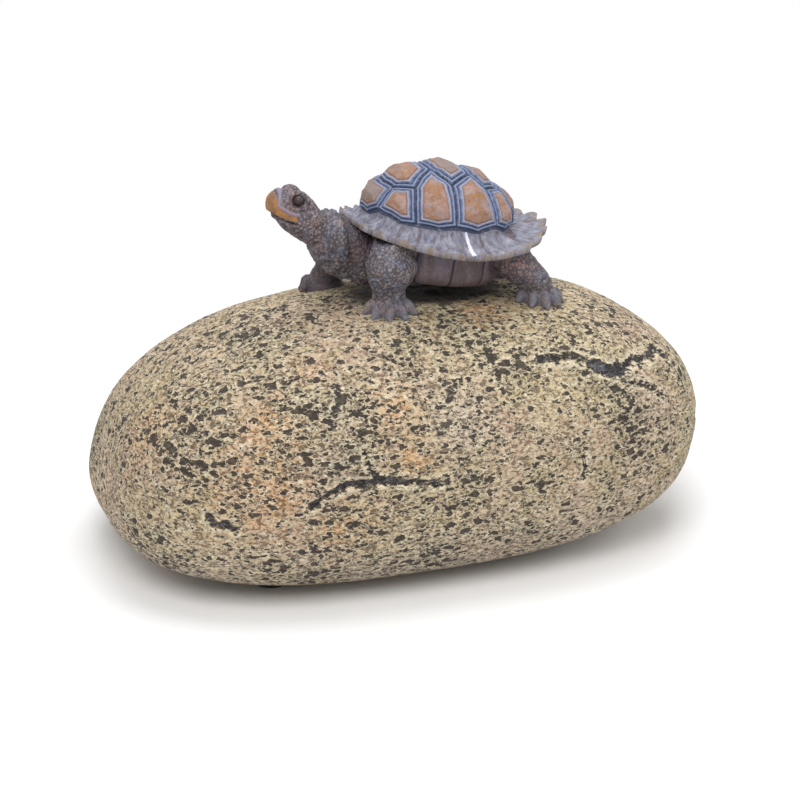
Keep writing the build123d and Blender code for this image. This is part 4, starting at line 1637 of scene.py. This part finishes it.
@dataclass
class Stage:
    """Camera, floor and light, as the photograph has them."""

    azimuth: float = -20.0
    elevation: float = 20.0
    distance: float = 499.2
    lens: float = 90.72
    sensor: float = 36.0
    aim: tuple[float, float, float] = (0.0, 0.0, 40.5)
    frame_right: float = 1.8
    frame_up: float = -7.2
    floor_reach: float = 3000.0
    pale: Colour = (0.93, 0.93, 0.93, 1.0)
    speck: Colour = (0.9, 0.9, 0.9, 1.0)
    white: Colour = (1.0, 1.0, 1.0, 1.0)
    shadow_reach: float = 95.0
    white_reach: float = 260.0
    surround: float = 0.42
    lamps: tuple[tuple[str, tuple[float, float, float], float, float], ...] = (
        ("key", (-260.0, -420.0, 560.0), 380.0, 3.0),
        ("fill", (480.0, -260.0, 320.0), 420.0, 0.9),
        ("top", (60.0, 120.0, 620.0), 460.0, 2.2),
    )

    def camera(self) -> None:
        """Place the camera."""
        turn, rise = math.radians(self.azimuth), math.radians(self.elevation)
        back = Vector((math.sin(turn) * math.cos(rise), -math.cos(turn) * math.cos(rise), math.sin(rise)))
        right = Vector((math.cos(turn), math.sin(turn), 0.0))
        up = back.cross(right)
        data = bpy.data.cameras.new("camera")
        data.lens = self.lens
        data.sensor_width = self.sensor
        data.clip_start = 0.01
        camera = bpy.data.objects.new("camera", data)
        bpy.context.scene.collection.objects.link(camera)
        target = Vector(self.aim) + right * self.frame_right + up * self.frame_up
        camera.location = (target + back * self.distance) * MM
        camera.rotation_mode = "QUATERNION"
        camera.rotation_quaternion = (-back).to_track_quat("-Z", "Y")
        bpy.context.scene.camera = camera

    def floor(self) -> None:
        """Lay a pale floor that keeps the object's shadow and turns white away from it."""
        corners = np.array([(-1.0, -1.0, 0.0), (1.0, -1.0, 0.0), (1.0, 1.0, 0.0), (-1.0, 1.0, 0.0)])
        floor = Form(corners * self.floor_reach, [(0, 1, 2, 3)]).build("floor")
        graph = Graph("floor")
        speck = graph.noise(4.0).step(0.3, 0.7) * 0.02
        near = graph.surface(graph.blend(speck, self.pale, self.speck), Roughness=0.9)
        white = graph.node("ShaderNodeEmission", {}, {"Color": self.white, "Strength": 1.0})
        reach = graph.node("ShaderNodeVectorMath", {"operation": "LENGTH"}, {0: graph.place()}, "Value")
        share = reach.step(self.shadow_reach, self.white_reach) * graph.camera_share()
        graph.close(graph.node("ShaderNodeMixShader", {}, {0: share, 1: near, 2: white}))
        floor.data.materials.append(graph.material)

    def light(self) -> None:
        """Set a soft key, a fill, an overhead panel and a white surround."""
        for lamp in self.lamps:
            self._lamp(*lamp)
        world = bpy.data.worlds.new("surround")
        bpy.context.scene.world = world
        graph = Graph("surround", world)
        strength = graph.camera_share() * (1.0 - self.surround) + self.surround
        values = {"Color": self.white, "Strength": strength}
        graph.close(graph.node("ShaderNodeBackground", {}, values))

    def _lamp(self, name: str, place: tuple[float, float, float], size: float, watts: float) -> None:
        """Hang a soft square lamp that faces the object."""
        data = bpy.data.lights.new(name, "AREA")
        data.shape = "SQUARE"
        data.size = size * MM
        data.energy = watts
        lamp = bpy.data.objects.new(name, data)
        bpy.context.scene.collection.objects.link(lamp)
        lamp.location = Vector(place) * MM
        lamp.rotation_mode = "QUATERNION"
        lamp.rotation_quaternion = (Vector(self.aim) * MM - lamp.location).to_track_quat("-Z", "Y")


def main() -> None:
    """Build the pieces in order."""
    logging.basicConfig(level=logging.INFO, format="%(name)s %(message)s")
    bpy.context.scene.view_settings.view_transform = "Standard"
    stage = Stage()
    stage.camera()
    stage.floor()
    stage.light()
    pebble = Pebble()
    pebble.build()
    shell = Shell()
    shell.build()
    Belly(shell).build()
    Head().build()
    Leg(pebble, End.FRONT, -1, (-4.7, 11.2)).build()
    Leg(pebble, End.FRONT, 1, (-12.1, 16.6), stride=7.4, splay=5.4).build()
    Leg(pebble, End.REAR, -1, (33.4, 11.4), toe_turn=92.0).build()
    Leg(pebble, End.REAR, 1, (33.4, 11.4), toe_turn=92.0).build()
    Tail().build()
    underside = Underside()
    underside.dress_nodes()
    underside.liner()


SKIN = SkinFinish().build()

if __name__ == "__main__":
    main()
